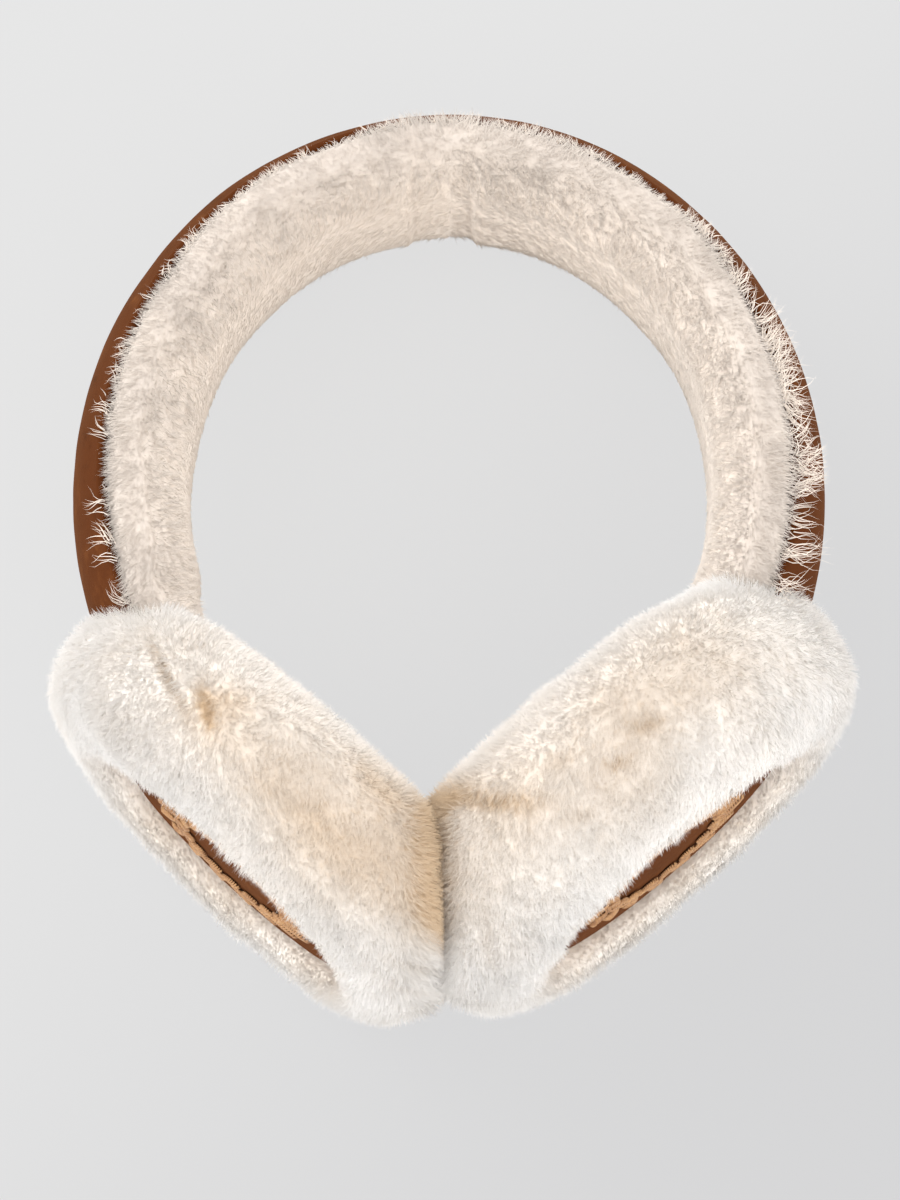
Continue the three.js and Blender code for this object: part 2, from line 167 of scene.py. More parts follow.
class Curve:
    """A smooth curve through a few points of a plane, walked evenly by its length."""

    def __init__(self, points: Sequence[tuple[float, float]], steps: int = 60) -> None:
        """Runs a Catmull-Rom curve through the points.

        Args:
            points: The places that it passes, at least three.
            steps: How finely each stretch is measured.
        """
        known = np.array(points, dtype=float)
        held = np.vstack([known[:1], known, known[-1:]])
        share = np.linspace(0.0, 1.0, steps, endpoint=False)[:, None]
        runs = []
        for before, here, after, beyond in zip(held, held[1:], held[2:], held[3:]):
            start, end = (after - before) / 2.0, (beyond - here) / 2.0
            cubic = (2 * here - 2 * after + start + end) * share**3
            square = (-3 * here + 3 * after - 2 * start - end) * share**2
            runs.append(cubic + square + start * share + here)
        self.path = np.vstack([*runs, known[-1:]])
        steps_long = np.linalg.norm(np.diff(self.path, axis=0), axis=1)
        self.length = np.concatenate([[0.0], np.cumsum(steps_long)])

    def at(self, share: Array) -> tuple[Array, Array]:
        """Finds places along the curve.

        Args:
            share: Shares of its length, from 0 to 1.

        Returns:
            The places, and the direction of the curve at each.
        """
        want = np.clip(share, 0.0, 1.0) * self.length[-1]
        step = self.length[-1] * 0.004
        return self.reached(want), unit(self.reached(want + step) - self.reached(want - step))

    def reached(self, length: Array) -> Array:
        """The places at lengths along the curve from its start."""
        return np.stack([np.interp(length, self.length, self.path[:, k]) for k in (0, 1)], axis=-1)


# How the earmuffs lie, and their arch


@dataclass(frozen=True)
class Lie:
    """How the earmuffs lie on the table: dropped back about X, then moved over the origin."""

    tilt: float = math.radians(10.63447)
    shift: tuple[float, float, float] = (-0.47120, 14.53241, 35.78482)

    def turn(self, vectors: Array) -> Array:
        """Turns directions from the earmuffs' own axes to the table's.

        Args:
            vectors: X, Y, Z to a row.

        Returns:
            The turned directions.
        """
        c, s = math.cos(self.tilt), math.sin(self.tilt)
        x, y, z = vectors[..., 0], vectors[..., 1], vectors[..., 2]
        return np.stack([x, c * y + s * z, -s * y + c * z], axis=-1)

    def lay(self, points: Array) -> Array:
        """Lays points on the table, still in millimetres."""
        return self.turn(points) + np.array(self.shift)

    def lift(self, points: Array) -> Array:
        """Takes points on the table back to the earmuffs' own axes.

        Args:
            points: X, Y, Z to a row, in millimetres.

        Returns:
            The same places in the earmuffs' own axes.
        """
        x, y, z = np.moveaxis(points - np.array(self.shift), -1, 0)
        c, s = math.cos(self.tilt), math.sin(self.tilt)
        return np.stack([x, c * y - s * z, s * y + c * z], axis=-1)

    def rest(self, points: Array, least: float) -> Array:
        """Presses points up to the table.

        Args:
            points: Places in the earmuffs' own axes.
            least: The lowest that one may lie above the table, in millimetres.

        Returns:
            The same places, with none lower than that.
        """
        laid = self.lay(points)
        laid[..., 2] = np.maximum(laid[..., 2], least)
        return self.lift(laid)


LIE = Lie()


@dataclass(frozen=True)
class Arch:
    """The arch that the strap follows, as an oval of its crown line."""

    half_width: float = 75.5
    half_height: float = 79.0
    depth: float = 45.0
    crown: float = 6.5
    suede: float = 2.4
    clearance: float = 0.3
    tongue: float = 15.0
    entries: tuple[float, float] = (-107.0, 103.0)

    @property
    def ends(self) -> tuple[float, float]:
        """The strap's two ends, in degrees from the top of the arch."""
        turn = math.degrees(self.tongue / self.half_width)
        return self.entries[0] - turn, self.entries[1] + turn

    def at(self, degrees: Array, out: Array, forward: Array) -> Array:
        """Finds places by the arch.

        Args:
            degrees: How far round from its top.
            out: How far out from its crown line.
            forward: How far towards its front.

        Returns:
            The places, in the earmuffs' own axes.
        """
        degrees, out, forward = np.broadcast_arrays(degrees, out, forward)
        angle = np.radians(degrees)
        away = self.outward(degrees)
        x = self.half_width * np.sin(angle) + out * away[..., 0]
        y = self.half_height * np.cos(angle) + out * away[..., 1]
        return np.stack([x, y, forward + 0.0 * x], axis=-1)

    def outward(self, degrees: Array) -> Array:
        """The direction square out of the arch at each angle.

        Args:
            degrees: How far round from its top.

        Returns:
            One direction for each angle.
        """
        angle = np.radians(degrees)
        x = self.half_height * np.sin(angle)
        y = self.half_width * np.cos(angle)
        return unit(np.stack([x, y, 0.0 * x], axis=-1))

    def downward(self, degrees: Array) -> Array:
        """The direction along the arch, away from its top, at each angle.

        Args:
            degrees: How far round from its top.

        Returns:
            One direction for each angle.
        """
        away = self.outward(degrees)
        along = np.stack([away[..., 1], -away[..., 0], 0.0 * away[..., 0]], axis=-1)
        return along * np.where(np.asarray(degrees) < 0.0, -1.0, 1.0)[..., None]

    def drop(self, forward: Array) -> Array:
        """How far the crowned strap falls away from its crown line."""
        return self.crown * (np.asarray(forward) / (self.depth / 2.0)) ** 2


ARCH = Arch()


# Meshes


@dataclass
class Patch:
    """Faces of one kind, and what their corners and points carry, before they become a mesh."""

    points: Array
    faces: Array
    normals: Array
    places: Array
    marks: dict[Mark, Array] = field(default_factory=dict)


def grid_faces(rows: int, columns: int, closed_rows: bool, closed_columns: bool) -> Array:
    """Numbers the faces of a grid of points.

    Args:
        rows: How many rows of points there are.
        columns: How many points each row has.
        closed_rows: Whether the last row joins the first.
        closed_columns: Whether each row closes on itself.

    Returns:
        Four point numbers for each face.
    """
    row = np.arange(rows if closed_rows else rows - 1)
    column = np.arange(columns if closed_columns else columns - 1)
    i, j = (a.ravel() for a in np.meshgrid(row, column, indexing="ij"))
    up, side = (i + 1) % rows, (j + 1) % columns
    return np.stack([i * columns + j, i * columns + side, up * columns + side, up * columns + j], axis=1)


def unwrapped(numbers: Array, count: int) -> Array:
    """Numbers each face's corners on past the end of a closed line, where the line starts again at 0."""
    over = (numbers == 0) & (numbers.max(axis=1, keepdims=True) == count - 1)
    return np.where(over, count, numbers)


def face_normals(points: Array, faces: Array) -> Array:
    """The direction that each face looks, as long as twice its area.

    Args:
        points: Places, X, Y, Z to a row.
        faces: Three or four point numbers to a row.

    Returns:
        One vector for each face.
    """
    corners = points[faces]
    if faces.shape[1] == 3:
        return np.cross(corners[:, 1] - corners[:, 0], corners[:, 2] - corners[:, 0])
    return np.cross(corners[:, 2] - corners[:, 0], corners[:, 3] - corners[:, 1])


def point_normals(points: Array, faces: Array) -> Array:
    """The smooth direction of a surface at each of its points.

    Args:
        points: Places, X, Y, Z to a row.
        faces: The point numbers of each face.

    Returns:
        One direction for each point.
    """
    total = np.zeros_like(points)
    looks = face_normals(points, faces)
    for corner in range(faces.shape[1]):
        np.add.at(total, faces[:, corner], looks)
    return unit(total)


@dataclass
class Sheet:
    """A grid of points that makes a closed skin, with the fields that its fleece grows by.

    Fields:
        grid: The points, in rows.
        closed_rows: Whether the last row joins the first.
        closed_columns: Whether each row closes on itself.
        hairy: How thick the fleece grows at each point, 0 where it is bare.
        length: How long it is there, in millimetres.
        comb: Which way it leans there.
        warmth: How far its finish is turned to its second colour there, from 0 to 1.
    """

    grid: Array
    closed_rows: bool
    closed_columns: bool
    hairy: Array
    length: Array
    comb: Array
    warmth: Array

    def __post_init__(self) -> None:
        """Numbers the faces, and works out which way the skin looks."""
        rows, columns = self.grid.shape[:2]
        self.points = self.grid.reshape(-1, 3)
        self.faces = grid_faces(rows, columns, self.closed_rows, self.closed_columns)
        self.normals = point_normals(self.points, self.faces)
        self.bearing = self.hairy.ravel()[self.faces].min(axis=1) > 0.0
        self.grain = point_normals(self.points, self.faces[self.bearing])

    @classmethod
    def bare(cls, grid: Array, warmth: Array | None = None) -> "Sheet":
        """Makes a skin without fleece, whose rows are rings.

        Args:
            grid: Its points.
            warmth: What its finish reads as warmth, or None for none.

        Returns:
            The skin.
        """
        zero = np.zeros(grid.shape[:2])
        return cls(grid, False, True, zero, zero, np.zeros_like(grid), zero if warmth is None else warmth)

    def turned_over(self) -> "Sheet":
        """The same skin, looking the other way."""
        sheets = ("grid", "hairy", "length", "comb", "warmth")
        return replace(self, **{name: getattr(self, name)[:, ::-1] for name in sheets})

    def patches(self, band: float) -> list[Patch]:
        """Makes the skin's own faces, with flat caps where its rows are open.

        Args:
            band: The share of the finish's own map, from its bottom, that the skin takes.

        Returns:
            The skin's patches.
        """
        rows, columns = self.grid.shape[:2]
        i, j = np.divmod(self.faces, columns)
        across = (unwrapped(j, columns) + 0.5) / (columns + 1)
        along = band * (unwrapped(i, rows) + 0.5) / (rows + 2)
        marks = {Mark.TONE: np.full(len(self.points), SKIN_TONE), Mark.WARMTH: self.warmth.ravel()}
        marks[Mark.TINT] = np.zeros(len(self.points))
        corner = self.normals[self.faces]
        if self.bearing.any():
            flat = unit(face_normals(self.points, self.faces))[:, None]
            corner = np.where(self.bearing[:, None, None], self.grain[self.faces], flat)
        body = Patch(self.points, self.faces, corner, np.stack([across, along], axis=-1), marks)
        made = [body]
        if not self.closed_rows:
            for row, turn in ((0, 1), (rows - 1, -1)):
                made.append(self.cap(row, turn, band * (row + 1.2) / (rows + 2)))
        return made

    def cap(self, row: int, turn: int, height: float) -> Patch:
        """Closes an open row with a fan of faces.

        Args:
            row: The row that it closes.
            turn: 1 where the fan runs with the row, -1 where it runs against it.
            height: Where it lies in the finish's own map.

        Returns:
            The fan.
        """
        ring = self.grid[row]
        count = len(ring)
        points = np.vstack([ring, ring.mean(axis=0)])
        here = np.arange(count)
        after = (here + 1) % count
        hub = np.full(count, count)
        faces = np.stack([hub, after, here] if turn > 0 else [hub, here, after], axis=1)
        looks = np.repeat(unit(face_normals(points, faces))[:, None], 3, axis=1)
        places = np.full((count, 3, 2), height)
        places[..., 0] = np.linspace(0.0, 1.0, count)[:, None]
        marks = {mark: np.full(count + 1, SKIN_TONE if mark is Mark.TONE else 0.0) for mark in Mark}
        return Patch(points, faces, looks, places, marks)


def to_mesh(name: str, patches: Sequence[Patch]) -> bpy.types.Object:
    """Lays patches on the table and joins them in one mesh.

    Args:
        name: The piece's name.
        patches: What it is made of.

    Returns:
        The new object, linked to the scene.
    """
    points = LIE.lay(np.vstack([p.points for p in patches])) * MM
    starts = np.cumsum([0, *[len(p.points) for p in patches]])
    corners = np.concatenate([(p.faces + start).ravel() for p, start in zip(patches, starts)])
    sizes = np.concatenate([np.full(len(p.faces), p.faces.shape[1]) for p in patches])
    mesh = bpy.data.meshes.new(name)
    mesh.vertices.add(len(points))
    mesh.vertices.foreach_set("co", points.astype(np.float32).ravel())
    mesh.loops.add(len(corners))
    mesh.loops.foreach_set("vertex_index", corners.astype(np.int32))
    mesh.polygons.add(len(sizes))
    mesh.polygons.foreach_set("loop_start", np.concatenate([[0], np.cumsum(sizes)[:-1]]).astype(np.int32))
    mesh.polygons.foreach_set("use_smooth", np.full(len(sizes), True))
    mesh.update(calc_edges=True)
    places = mesh.uv_layers.new(name="OFBake")
    uvs = np.vstack([p.places.reshape(-1, 2) for p in patches])
    places.data.foreach_set("uv", uvs.astype(np.float32).ravel())
    for mark in {m for p in patches for m in p.marks}:
        layer = mesh.attributes.new(mark.value, "FLOAT", "POINT")
        values = np.concatenate([p.marks.get(mark, np.zeros(len(p.points))) for p in patches])
        layer.data.foreach_set("value", values.astype(np.float32))
    looks = LIE.turn(unit(np.vstack([p.normals.reshape(-1, 3) for p in patches])))
    mesh.normals_split_custom_set(looks.astype(np.float32))
    piece = bpy.data.objects.new(name, mesh)
    bpy.context.scene.collection.objects.link(piece)
    return piece


# Fleece


@dataclass(frozen=True)
class Growth:
    """How a stretch of fleece grows from its skin. Lengths are millimetres.

    Fields:
        hairs: How many hairs there are.
        width: How thick a hair is at its root.
        lift: How far the hairs stand up from the skin, next to how far they are combed.
        spread: How much each hair strays by itself.
        swirl: How much they stray together, in patches.
        swirl_size: How far apart those patches are.
        clump: How many hairs there are to each that leads a clump.
        pull: How far a hair's tip is drawn to its leader's.
        shortest: The shortest hair, as a share of the length there.
        softness: How much a hair is lit as the fleece around it is.
    """

    hairs: int
    width: float = 0.2
    lift: float = 0.62
    spread: float = 0.26
    swirl: float = 0.2
    swirl_size: float = 8.0
    clump: int = 10
    pull: float = 0.18
    shortest: float = 0.72
    softness: float = 0.94


@dataclass
class Hair:
    """Hairs as paths from root to tip, with the skin's direction and the finish at each."""

    paths: Array
    normals: Array
    width: Array
    warmth: Array
    tint: Array


def triangles_of(faces: Array) -> Array:
    """Splits four-cornered faces in two."""
    return np.vstack([faces[:, [0, 1, 2]], faces[:, [0, 2, 3]]])


def grow(skin: Sheet, growth: Growth, seed: int, keep: Callable[[Array], Array]) -> Hair:
    """Grows hairs over a skin.

    Args:
        skin: What they grow from.
        growth: How they grow.
        seed: Makes the same fleece each time.
        keep: Moves places that something else holds, such as the table.

    Returns:
        The hairs.
    """
    rng = np.random.default_rng(seed)
    # where the roots are: anywhere on the hairy faces, as thick as they are hairy
    thirds = triangles_of(skin.faces)
    hairy, comb = skin.hairy.ravel(), skin.comb.reshape(-1, 3)
    area = np.linalg.norm(face_normals(skin.points, thirds), axis=1)
    weight = area * hairy[thirds].min(axis=1)
    picks = thirds[rng.choice(len(thirds), size=growth.hairs, p=weight / weight.sum())]
    u, v = rng.random((2, growth.hairs))
    over = u + v > 1.0
    u, v = np.where(over, 1.0 - u, u), np.where(over, 1.0 - v, v)
    shares = np.stack([1.0 - u - v, u, v], axis=1)

    def over_skin(values: Array) -> Array:
        """Reads a field of the skin at each root."""
        share = shares if values.ndim == 1 else shares[..., None]
        return (values[picks] * share).sum(axis=1)

    # each hair stands up, leans as it is combed, and strays
    root, normal = over_skin(skin.points), unit(over_skin(skin.grain))
    lean = over_skin(comb)
    lean = lean + growth.swirl * wander3(root, growth.swirl_size, seed + 3)
    lean = lean + 0.5 * growth.swirl * wander3(root, growth.swirl_size * 0.4, seed + 11)
    loose = rng.normal(0.0, growth.spread, (growth.hairs, 3))
    heading = growth.lift * normal + lean - normal * (lean * normal).sum(axis=1, keepdims=True)
    direction = unit(heading + loose)
    reach = over_skin(skin.length.ravel()) * rng.uniform(growth.shortest, 1.04, growth.hairs)
    tip = root + direction * reach[:, None]

    # the tips gather in clumps, each round its leader
    leaders = np.arange(0, growth.hairs, growth.clump)
    tree = KDTree(len(leaders))
    for number, place in enumerate(root[leaders]):
        tree.insert(place, number)
    tree.balance()
    led_by = leaders[[tree.find(place)[1] for place in root]]
    pull = growth.pull * rng.uniform(0.4, 1.0, (growth.hairs, 1))
    gathered = root[led_by] + unit(heading[led_by] + 0.35 * loose[led_by]) * reach[:, None]
    tip = keep(tip + pull * (gathered - tip))
    root = keep(root)

    width = growth.width * rng.uniform(0.75, 1.2, growth.hairs)
    leader_tint = rng.normal(0.0, 1.0, growth.hairs)[led_by]
    tint = 0.55 * leader_tint + 0.45 * rng.normal(0.0, 1.0, growth.hairs)
    paths = np.stack([root, tip], axis=1)
    return Hair(paths, normal, width, over_skin(skin.warmth.ravel()), np.clip(tint, -2.0, 2.0))


def spike(rings: int) -> tuple[Array, Array]:
    """Numbers the faces of one three-sided hair.

    Args:
        rings: How many rings of points it has under its tip.

    Returns:
        The corners of each face, and how far round and along the hair each corner is.
    """
    faces, spots = [], []
    for k in range(3):
        after = (k + 1) % 3
        for r in range(rings - 1):
            low, high = r * 3, (r + 1) * 3
            faces += [[low + k, low + after, high + after], [low + k, high + after, high + k]]
            spots += [[(k, r), (k + 1, r), (k + 1, r + 1)], [(k, r), (k + 1, r + 1), (k, r + 1)]]
        last = (rings - 1) * 3
        faces.append([last + k, last + after, rings * 3])
        spots.append([(k, rings - 1), (k + 1, rings - 1), (1.5, rings)])
    return np.array(faces), np.array(spots, dtype=float)


def spun(hair: Hair, softness: float, band: tuple[float, float]) -> Patch:
    """Gives hairs their thickness: each is a three-sided spike along its path.

    Args:
        hair: The hairs.
        softness: How much a hair is lit as the fleece around it is, from 0 to 1.
        band: The heights, in the finish's own map, between which their cells lie.

    Returns:
        All the hairs as one patch of triangles.
    """
    count, joints = hair.paths.shape[:2]
    direction = unit(hair.paths[:, -1] - hair.paths[:, 0])
    side_a = unit(np.cross(direction, hair.normals + np.array([0.013, 0.007, 0.003])))
    side_b = np.cross(direction, side_a)
    turn = 2.0 * math.pi * np.arange(3) / 3.0
    ring = np.cos(turn)[:, None] * side_a[:, None] + np.sin(turn)[:, None] * side_b[:, None]
    rings = joints - 1
    taper = 1.0 - (np.arange(rings) / (joints - 1)) ** 1.6
    half = 0.5 * hair.width[:, None, None, None] * taper[None, :, None, None]
    body = hair.paths[:, :rings, None] + half * ring[:, None]
    points = np.concatenate([body.reshape(count, rings * 3, 3), hair.paths[:, -1:]], axis=1)
    per_hair = rings * 3 + 1
    local, spot = spike(rings)
    faces = (np.arange(count)[:, None, None] * per_hair + local).reshape(-1, 3)
    flat = points.reshape(-1, 3)

    sides = np.repeat(ring[:, None], rings, axis=1).reshape(count, -1, 3)
    own = np.concatenate([sides, direction[:, None]], axis=1)
    blended = unit(softness * hair.normals[:, None] + (1.0 - softness) * own).reshape(-1, 3)
    looks = unit(face_normals(flat, faces))[:, None]
    corner = blended[faces]
    lack = np.maximum(LEAST_FACING - (corner * looks).sum(axis=-1, keepdims=True), 0.0)
    corner = unit(corner + lack * looks)

    low, high = band
    columns = math.ceil(math.sqrt(count / (high - low)))
    cell = 1.0 / columns
    row, column = np.divmod(np.arange(count), columns)
    spot_u = 0.1 + 0.8 * (1.5 + (spot[..., 0] - 1.5) * (1.0 - 0.5 * spot[..., 1] / rings)) / 3.0
    spot_v = 0.1 + 0.8 * spot[..., 1] / rings
    u = (column[:, None, None] + spot_u) * cell
    v = low + (row[:, None, None] + spot_v) * cell
    places = np.stack([u, v], axis=-1).reshape(-1, 3, 2)

    tone = np.repeat(np.arange(joints) / (joints - 1), [3] * rings + [1])
    marks = {
        Mark.TONE: np.tile(tone, count),
        Mark.WARMTH: np.repeat(hair.warmth, per_hair),
        Mark.TINT: np.repeat(hair.tint, per_hair),
    }
    return Patch(flat, faces, corner, places, marks)


# Finishes


def new_group(
    name: str, inputs: dict[str, tuple[str, object]], outputs: dict[str, str]
) -> bpy.types.NodeTree:
    """Starts a shader node group.

    Args:
        name: The group's name.
        inputs: The kind of socket and the first value of each input, by name.
        outputs: The kind of socket of each output, by name.

    Returns:
        The group, with its input and output nodes.
    """
    tree = bpy.data.node_groups.new(name, "ShaderNodeTree")
    for label, (kind, value) in inputs.items():
        tree.interface.new_socket(name=label, in_out="INPUT", socket_type=kind).default_value = value
    for label, kind in outputs.items():
        tree.interface.new_socket(name=label, in_out="OUTPUT", socket_type=kind)
    tree.nodes.new("NodeGroupInput").name = "in"
    tree.nodes.new("NodeGroupOutput").name = "out"
    return tree


class Wiring:
    """Short words for laying nodes in a tree."""

    def __init__(self, tree: bpy.types.NodeTree) -> None:
        """Holds the tree that the nodes go in."""
        self.tree = tree

    def node(self, kind: str, **settings: object) -> bpy.types.Node:
        """Adds a node of a kind, with its settings.

        Args:
            kind: The node's type.
            settings: Its properties, by name.

        Returns:
            The new node.
        """
        made = self.tree.nodes.new(kind)
        for key, value in settings.items():
            setattr(made, key, value)
        return made

    def feed(self, target: bpy.types.NodeSocket, source: object) -> None:
        """Links a socket into another, or sets it where the source is a plain value.

        Args:
            target: The input that is fed.
            source: A socket or a plain value.
        """
        if isinstance(source, bpy.types.NodeSocket):
            self.tree.links.new(source, target)
        else:
            target.default_value = source

    def math(self, operation: str, *values: object, clamp: bool = False) -> bpy.types.NodeSocket:
        """Works out a number from others.

        Args:
            operation: What is worked out.
            values: Sockets or plain numbers.
            clamp: Whether it is held from 0 to 1.

        Returns:
            The number.
        """
        made = self.node("ShaderNodeMath", operation=operation, use_clamp=clamp)
        for socket, value in zip(made.inputs, values):
            self.feed(socket, value)
        return made.outputs[0]

    def mix(self, factor: object, first: object, second: object, blend: str = "MIX") -> bpy.types.NodeSocket:
        """Mixes two colours.

        Args:
            factor: The share of the second one.
            first: A socket or a plain colour.
            second: A socket or a plain colour.
            blend: How they are mixed.

        Returns:
            The mixed colour.
        """
        made = self.node("ShaderNodeMix", data_type="RGBA", blend_type=blend)
        for socket, value in zip((made.inputs[0], made.inputs[6], made.inputs[7]), (factor, first, second)):
            self.feed(socket, value)
        return made.outputs[2]

    def noise(
        self, place: object, size: float, detail: float = 3.0, rough: float = 0.55
    ) -> bpy.types.NodeSocket:
        """A noise field whose hills are about a size apart, in millimetres.

        Args:
            place: Where it is read.
            size: How far apart its hills are.
            detail: How many finer fields lie over it.
            rough: How strong those are.

        Returns:
            The field.
        """
        made = self.node("ShaderNodeTexNoise")
        self.feed(made.inputs["Vector"], place)
        made.inputs["Scale"].default_value = 1.0 / (size * MM)
        made.inputs["Detail"].default_value = detail
        made.inputs["Roughness"].default_value = rough
        return made.outputs["Fac"]

    def spread(self, value: object, low: float, high: float) -> bpy.types.NodeSocket:
        """Stretches the part of a field between two values over 0 to 1.

        Args:
            value: The field.
            low: What becomes 0.
            high: What becomes 1.

        Returns:
            The stretched field.
        """
        made = self.node("ShaderNodeMapRange", interpolation_type="SMOOTHSTEP")
        self.feed(made.inputs[0], value)
        made.inputs[1].default_value, made.inputs[2].default_value = low, high
        return made.outputs[0]

    def times(self, value: object, factor: object) -> bpy.types.NodeSocket:
        """Multiplies two numbers."""
        return self.math("MULTIPLY", value, factor)

    def raise_nap(self, shader: bpy.types.Node, height: object, strength: float, tall: float) -> None:
        """Gives a shader's normal a fine relief, whose height is in millimetres.

        Args:
            shader: The shader.
            height: The relief, from 0 to 1.
            strength: How strong it is.
            tall: How high it is in all, in millimetres.
        """
        bump = self.node("ShaderNodeBump")
        bump.inputs["Strength"].default_value = strength
        bump.inputs["Distance"].default_value = tall * MM
        self.feed(bump.inputs["Height"], height)
        self.feed(shader.inputs["Normal"], bump.outputs["Normal"])

    def mark(self, mark: Mark) -> bpy.types.NodeSocket:
        """Reads what a point of the fleece carries."""
        return self.node("ShaderNodeAttribute", attribute_name=mark.value).outputs["Fac"]

    def place(self) -> bpy.types.NodeSocket:
        """The place on the object, in metres."""
        return self.node("ShaderNodeTexCoord").outputs["Object"]


def fleece_group() -> bpy.types.NodeTree:
    """The colour of fleece: warm at its roots, turned by its second mark to its own tan and to painted light
    and shade, pale at its tips, and mottled.

    Returns:
        The node group.
    """
    tree = new_group(
        "Fleece colour",
        {
            "Tip": ("NodeSocketColor", (0.9, 0.87, 0.82, 1.0)),
            "Root": ("NodeSocketColor", (0.7, 0.55, 0.36, 1.0)),
            "Warm": ("NodeSocketColor", (0.75, 0.62, 0.43, 1.0)),
            "Deep": ("NodeSocketColor", (0.7, 0.53, 0.36, 1.0)),
            "Mottle": ("NodeSocketFloat", 0.5),
        },
        {"Color": "NodeSocketColor"},
    )
    w = Wiring(tree)
    given, out = tree.nodes["in"].outputs, tree.nodes["out"].inputs
    place = w.place()
    patches = w.spread(w.noise(place, 9.0), 0.42, 0.7)
    specks = w.spread(w.noise(place, 1.6, 2.0), 0.5, 0.75)
    tone = w.math("POWER", w.mark(Mark.TONE), 0.7)
    base = w.mix(tone, given["Root"], given["Tip"])
    shade = w.times(w.math("ADD", w.times(patches, 0.7), specks), given["Mottle"])
    # The second mark brings painted shade in the cups' cleft and recesses and painted light on the lining's
    # inside, over the fleece's own tone.
    warmth = w.math("ADD", w.mark(Mark.WARMTH), w.times(shade, 0.35), clamp=True)
    warmed = w.mix(warmth, base, w.mix(warmth, given["Warm"], given["Deep"]))
    fibres = w.math("SUBTRACT", w.noise(place, 0.55, 3.0, 0.7), 0.5)
    tint = w.times(w.mark(Mark.TINT), 0.02)
    lightness = w.math("ADD", w.math("ADD", 1.0, tint), w.times(fibres, 0.1))
    bright = w.node("ShaderNodeCombineColor")
    for socket in bright.inputs:
        w.feed(socket, lightness)
    w.feed(out["Color"], w.mix(1.0, warmed, bright.outputs[0], "MULTIPLY"))
    return tree


def nap_group() -> bpy.types.NodeTree:
    """The look of brushed suede: cloudy light and dark where the nap lies over, a fine fibre, and painted
    shade by its mark.

    Returns:
        The node group.
    """
    tree = new_group(
        "Suede nap",
        {
            "Colour": ("NodeSocketColor", (0.2, 0.07, 0.015, 1.0)),
            "Light": ("NodeSocketColor", (0.35, 0.15, 0.04, 1.0)),
            "Dark": ("NodeSocketColor", (0.1, 0.03, 0.008, 1.0)),
        },
        {"Color": "NodeSocketColor", "Roughness": "NodeSocketFloat", "Height": "NodeSocketFloat"},
    )
    w = Wiring(tree)
    given, out = tree.nodes["in"].outputs, tree.nodes["out"].inputs
    place = w.place()
    clouds = w.noise(place, 11.0, 4.0, 0.6)
    strokes = w.noise(place, 3.0, 3.0, 0.6)
    fibre = w.noise(place, 0.45, 4.0, 0.7)
    light = w.times(w.spread(clouds, 0.48, 0.72), w.spread(strokes, 0.35, 0.7))
    dark = w.spread(w.math("ADD", clouds, w.times(strokes, 0.4)), 0.62, 0.42)
    colour = w.mix(w.times(light, 0.8), given["Colour"], given["Light"])
    colour = w.mix(w.times(dark, 0.65), colour, given["Dark"])
    colour = w.mix(w.times(w.spread(fibre, 0.5, 0.75), 0.3), colour, given["Light"])
    # Painted shade: the suede is darkened by the mark, which the strap carries on its edges and underside.
    w.feed(out["Color"], w.mix(w.times(w.mark(Mark.WARMTH), 0.8), colour, given["Dark"]))
    w.feed(out["Roughness"], w.math("ADD", 0.84, w.times(fibre, 0.14)))
    w.feed(out["Height"], w.math("ADD", w.times(fibre, 0.7), w.times(strokes, 0.6)))
    return tree


class Groups:
    """The shared node groups, each made once."""

    def __init__(self) -> None:
        """Makes them."""
        self.fleece = fleece_group()
        self.nap = nap_group()


def new_material(
    name: str, plain: dict[str, object]
) -> tuple[bpy.types.Material, Wiring, bpy.types.Node]:
    """Starts a material with one Principled shader.

    Args:
        name: The material's name.
        plain: The shader's inputs that are the same all over, by name.

    Returns:
        The material, the wiring of its tree and the shader.
    """
    material = bpy.data.materials.new(name)
    material.use_nodes = True
    shader = material.node_tree.nodes["Principled BSDF"]
    for label, value in plain.items():
        shader.inputs[label].default_value = value
    return material, Wiring(material.node_tree), shader


@dataclass(frozen=True)
class FleeceFinish:
    """Sheepskin fleece. Colours are linear; warm and deep are what its second mark turns it to, by and by:
    on the cups its own tan and painted shade, on the lining painted light.
    """

    name: str
    tip: Colour = (0.875, 0.858, 0.838)
    root: Colour = (0.85, 0.805, 0.75)
    warm: Colour = (0.70, 0.60, 0.50)
    deep: Colour = (0.69, 0.52, 0.35)
    mottle: float = 0.3

    def material(self, groups: Groups) -> bpy.types.Material:
        """Makes the material.

        Args:
            groups: The shared node groups.

        Returns:
            The material.
        """
        plain = {"Roughness": 0.9, "Specular IOR Level": 0.15}
        sheen = {"Sheen Weight": 0.25, "Sheen Roughness": 0.5, "Sheen Tint": (1.0, 0.97, 0.93, 1.0)}
        material, w, shader = new_material(self.name, plain | sheen)
        fleece = w.node("ShaderNodeGroup", node_tree=groups.fleece)
        colours = {"Tip": self.tip, "Root": self.root, "Warm": self.warm, "Deep": self.deep}
        for label, colour in colours.items():
            fleece.inputs[label].default_value = (*colour, 1.0)
        fleece.inputs["Mottle"].default_value = self.mottle
        w.feed(shader.inputs["Base Color"], fleece.outputs["Color"])
        w.raise_nap(shader, w.noise(w.place(), 0.7, 3.0, 0.7), strength=0.16, tall=0.2)
        return material


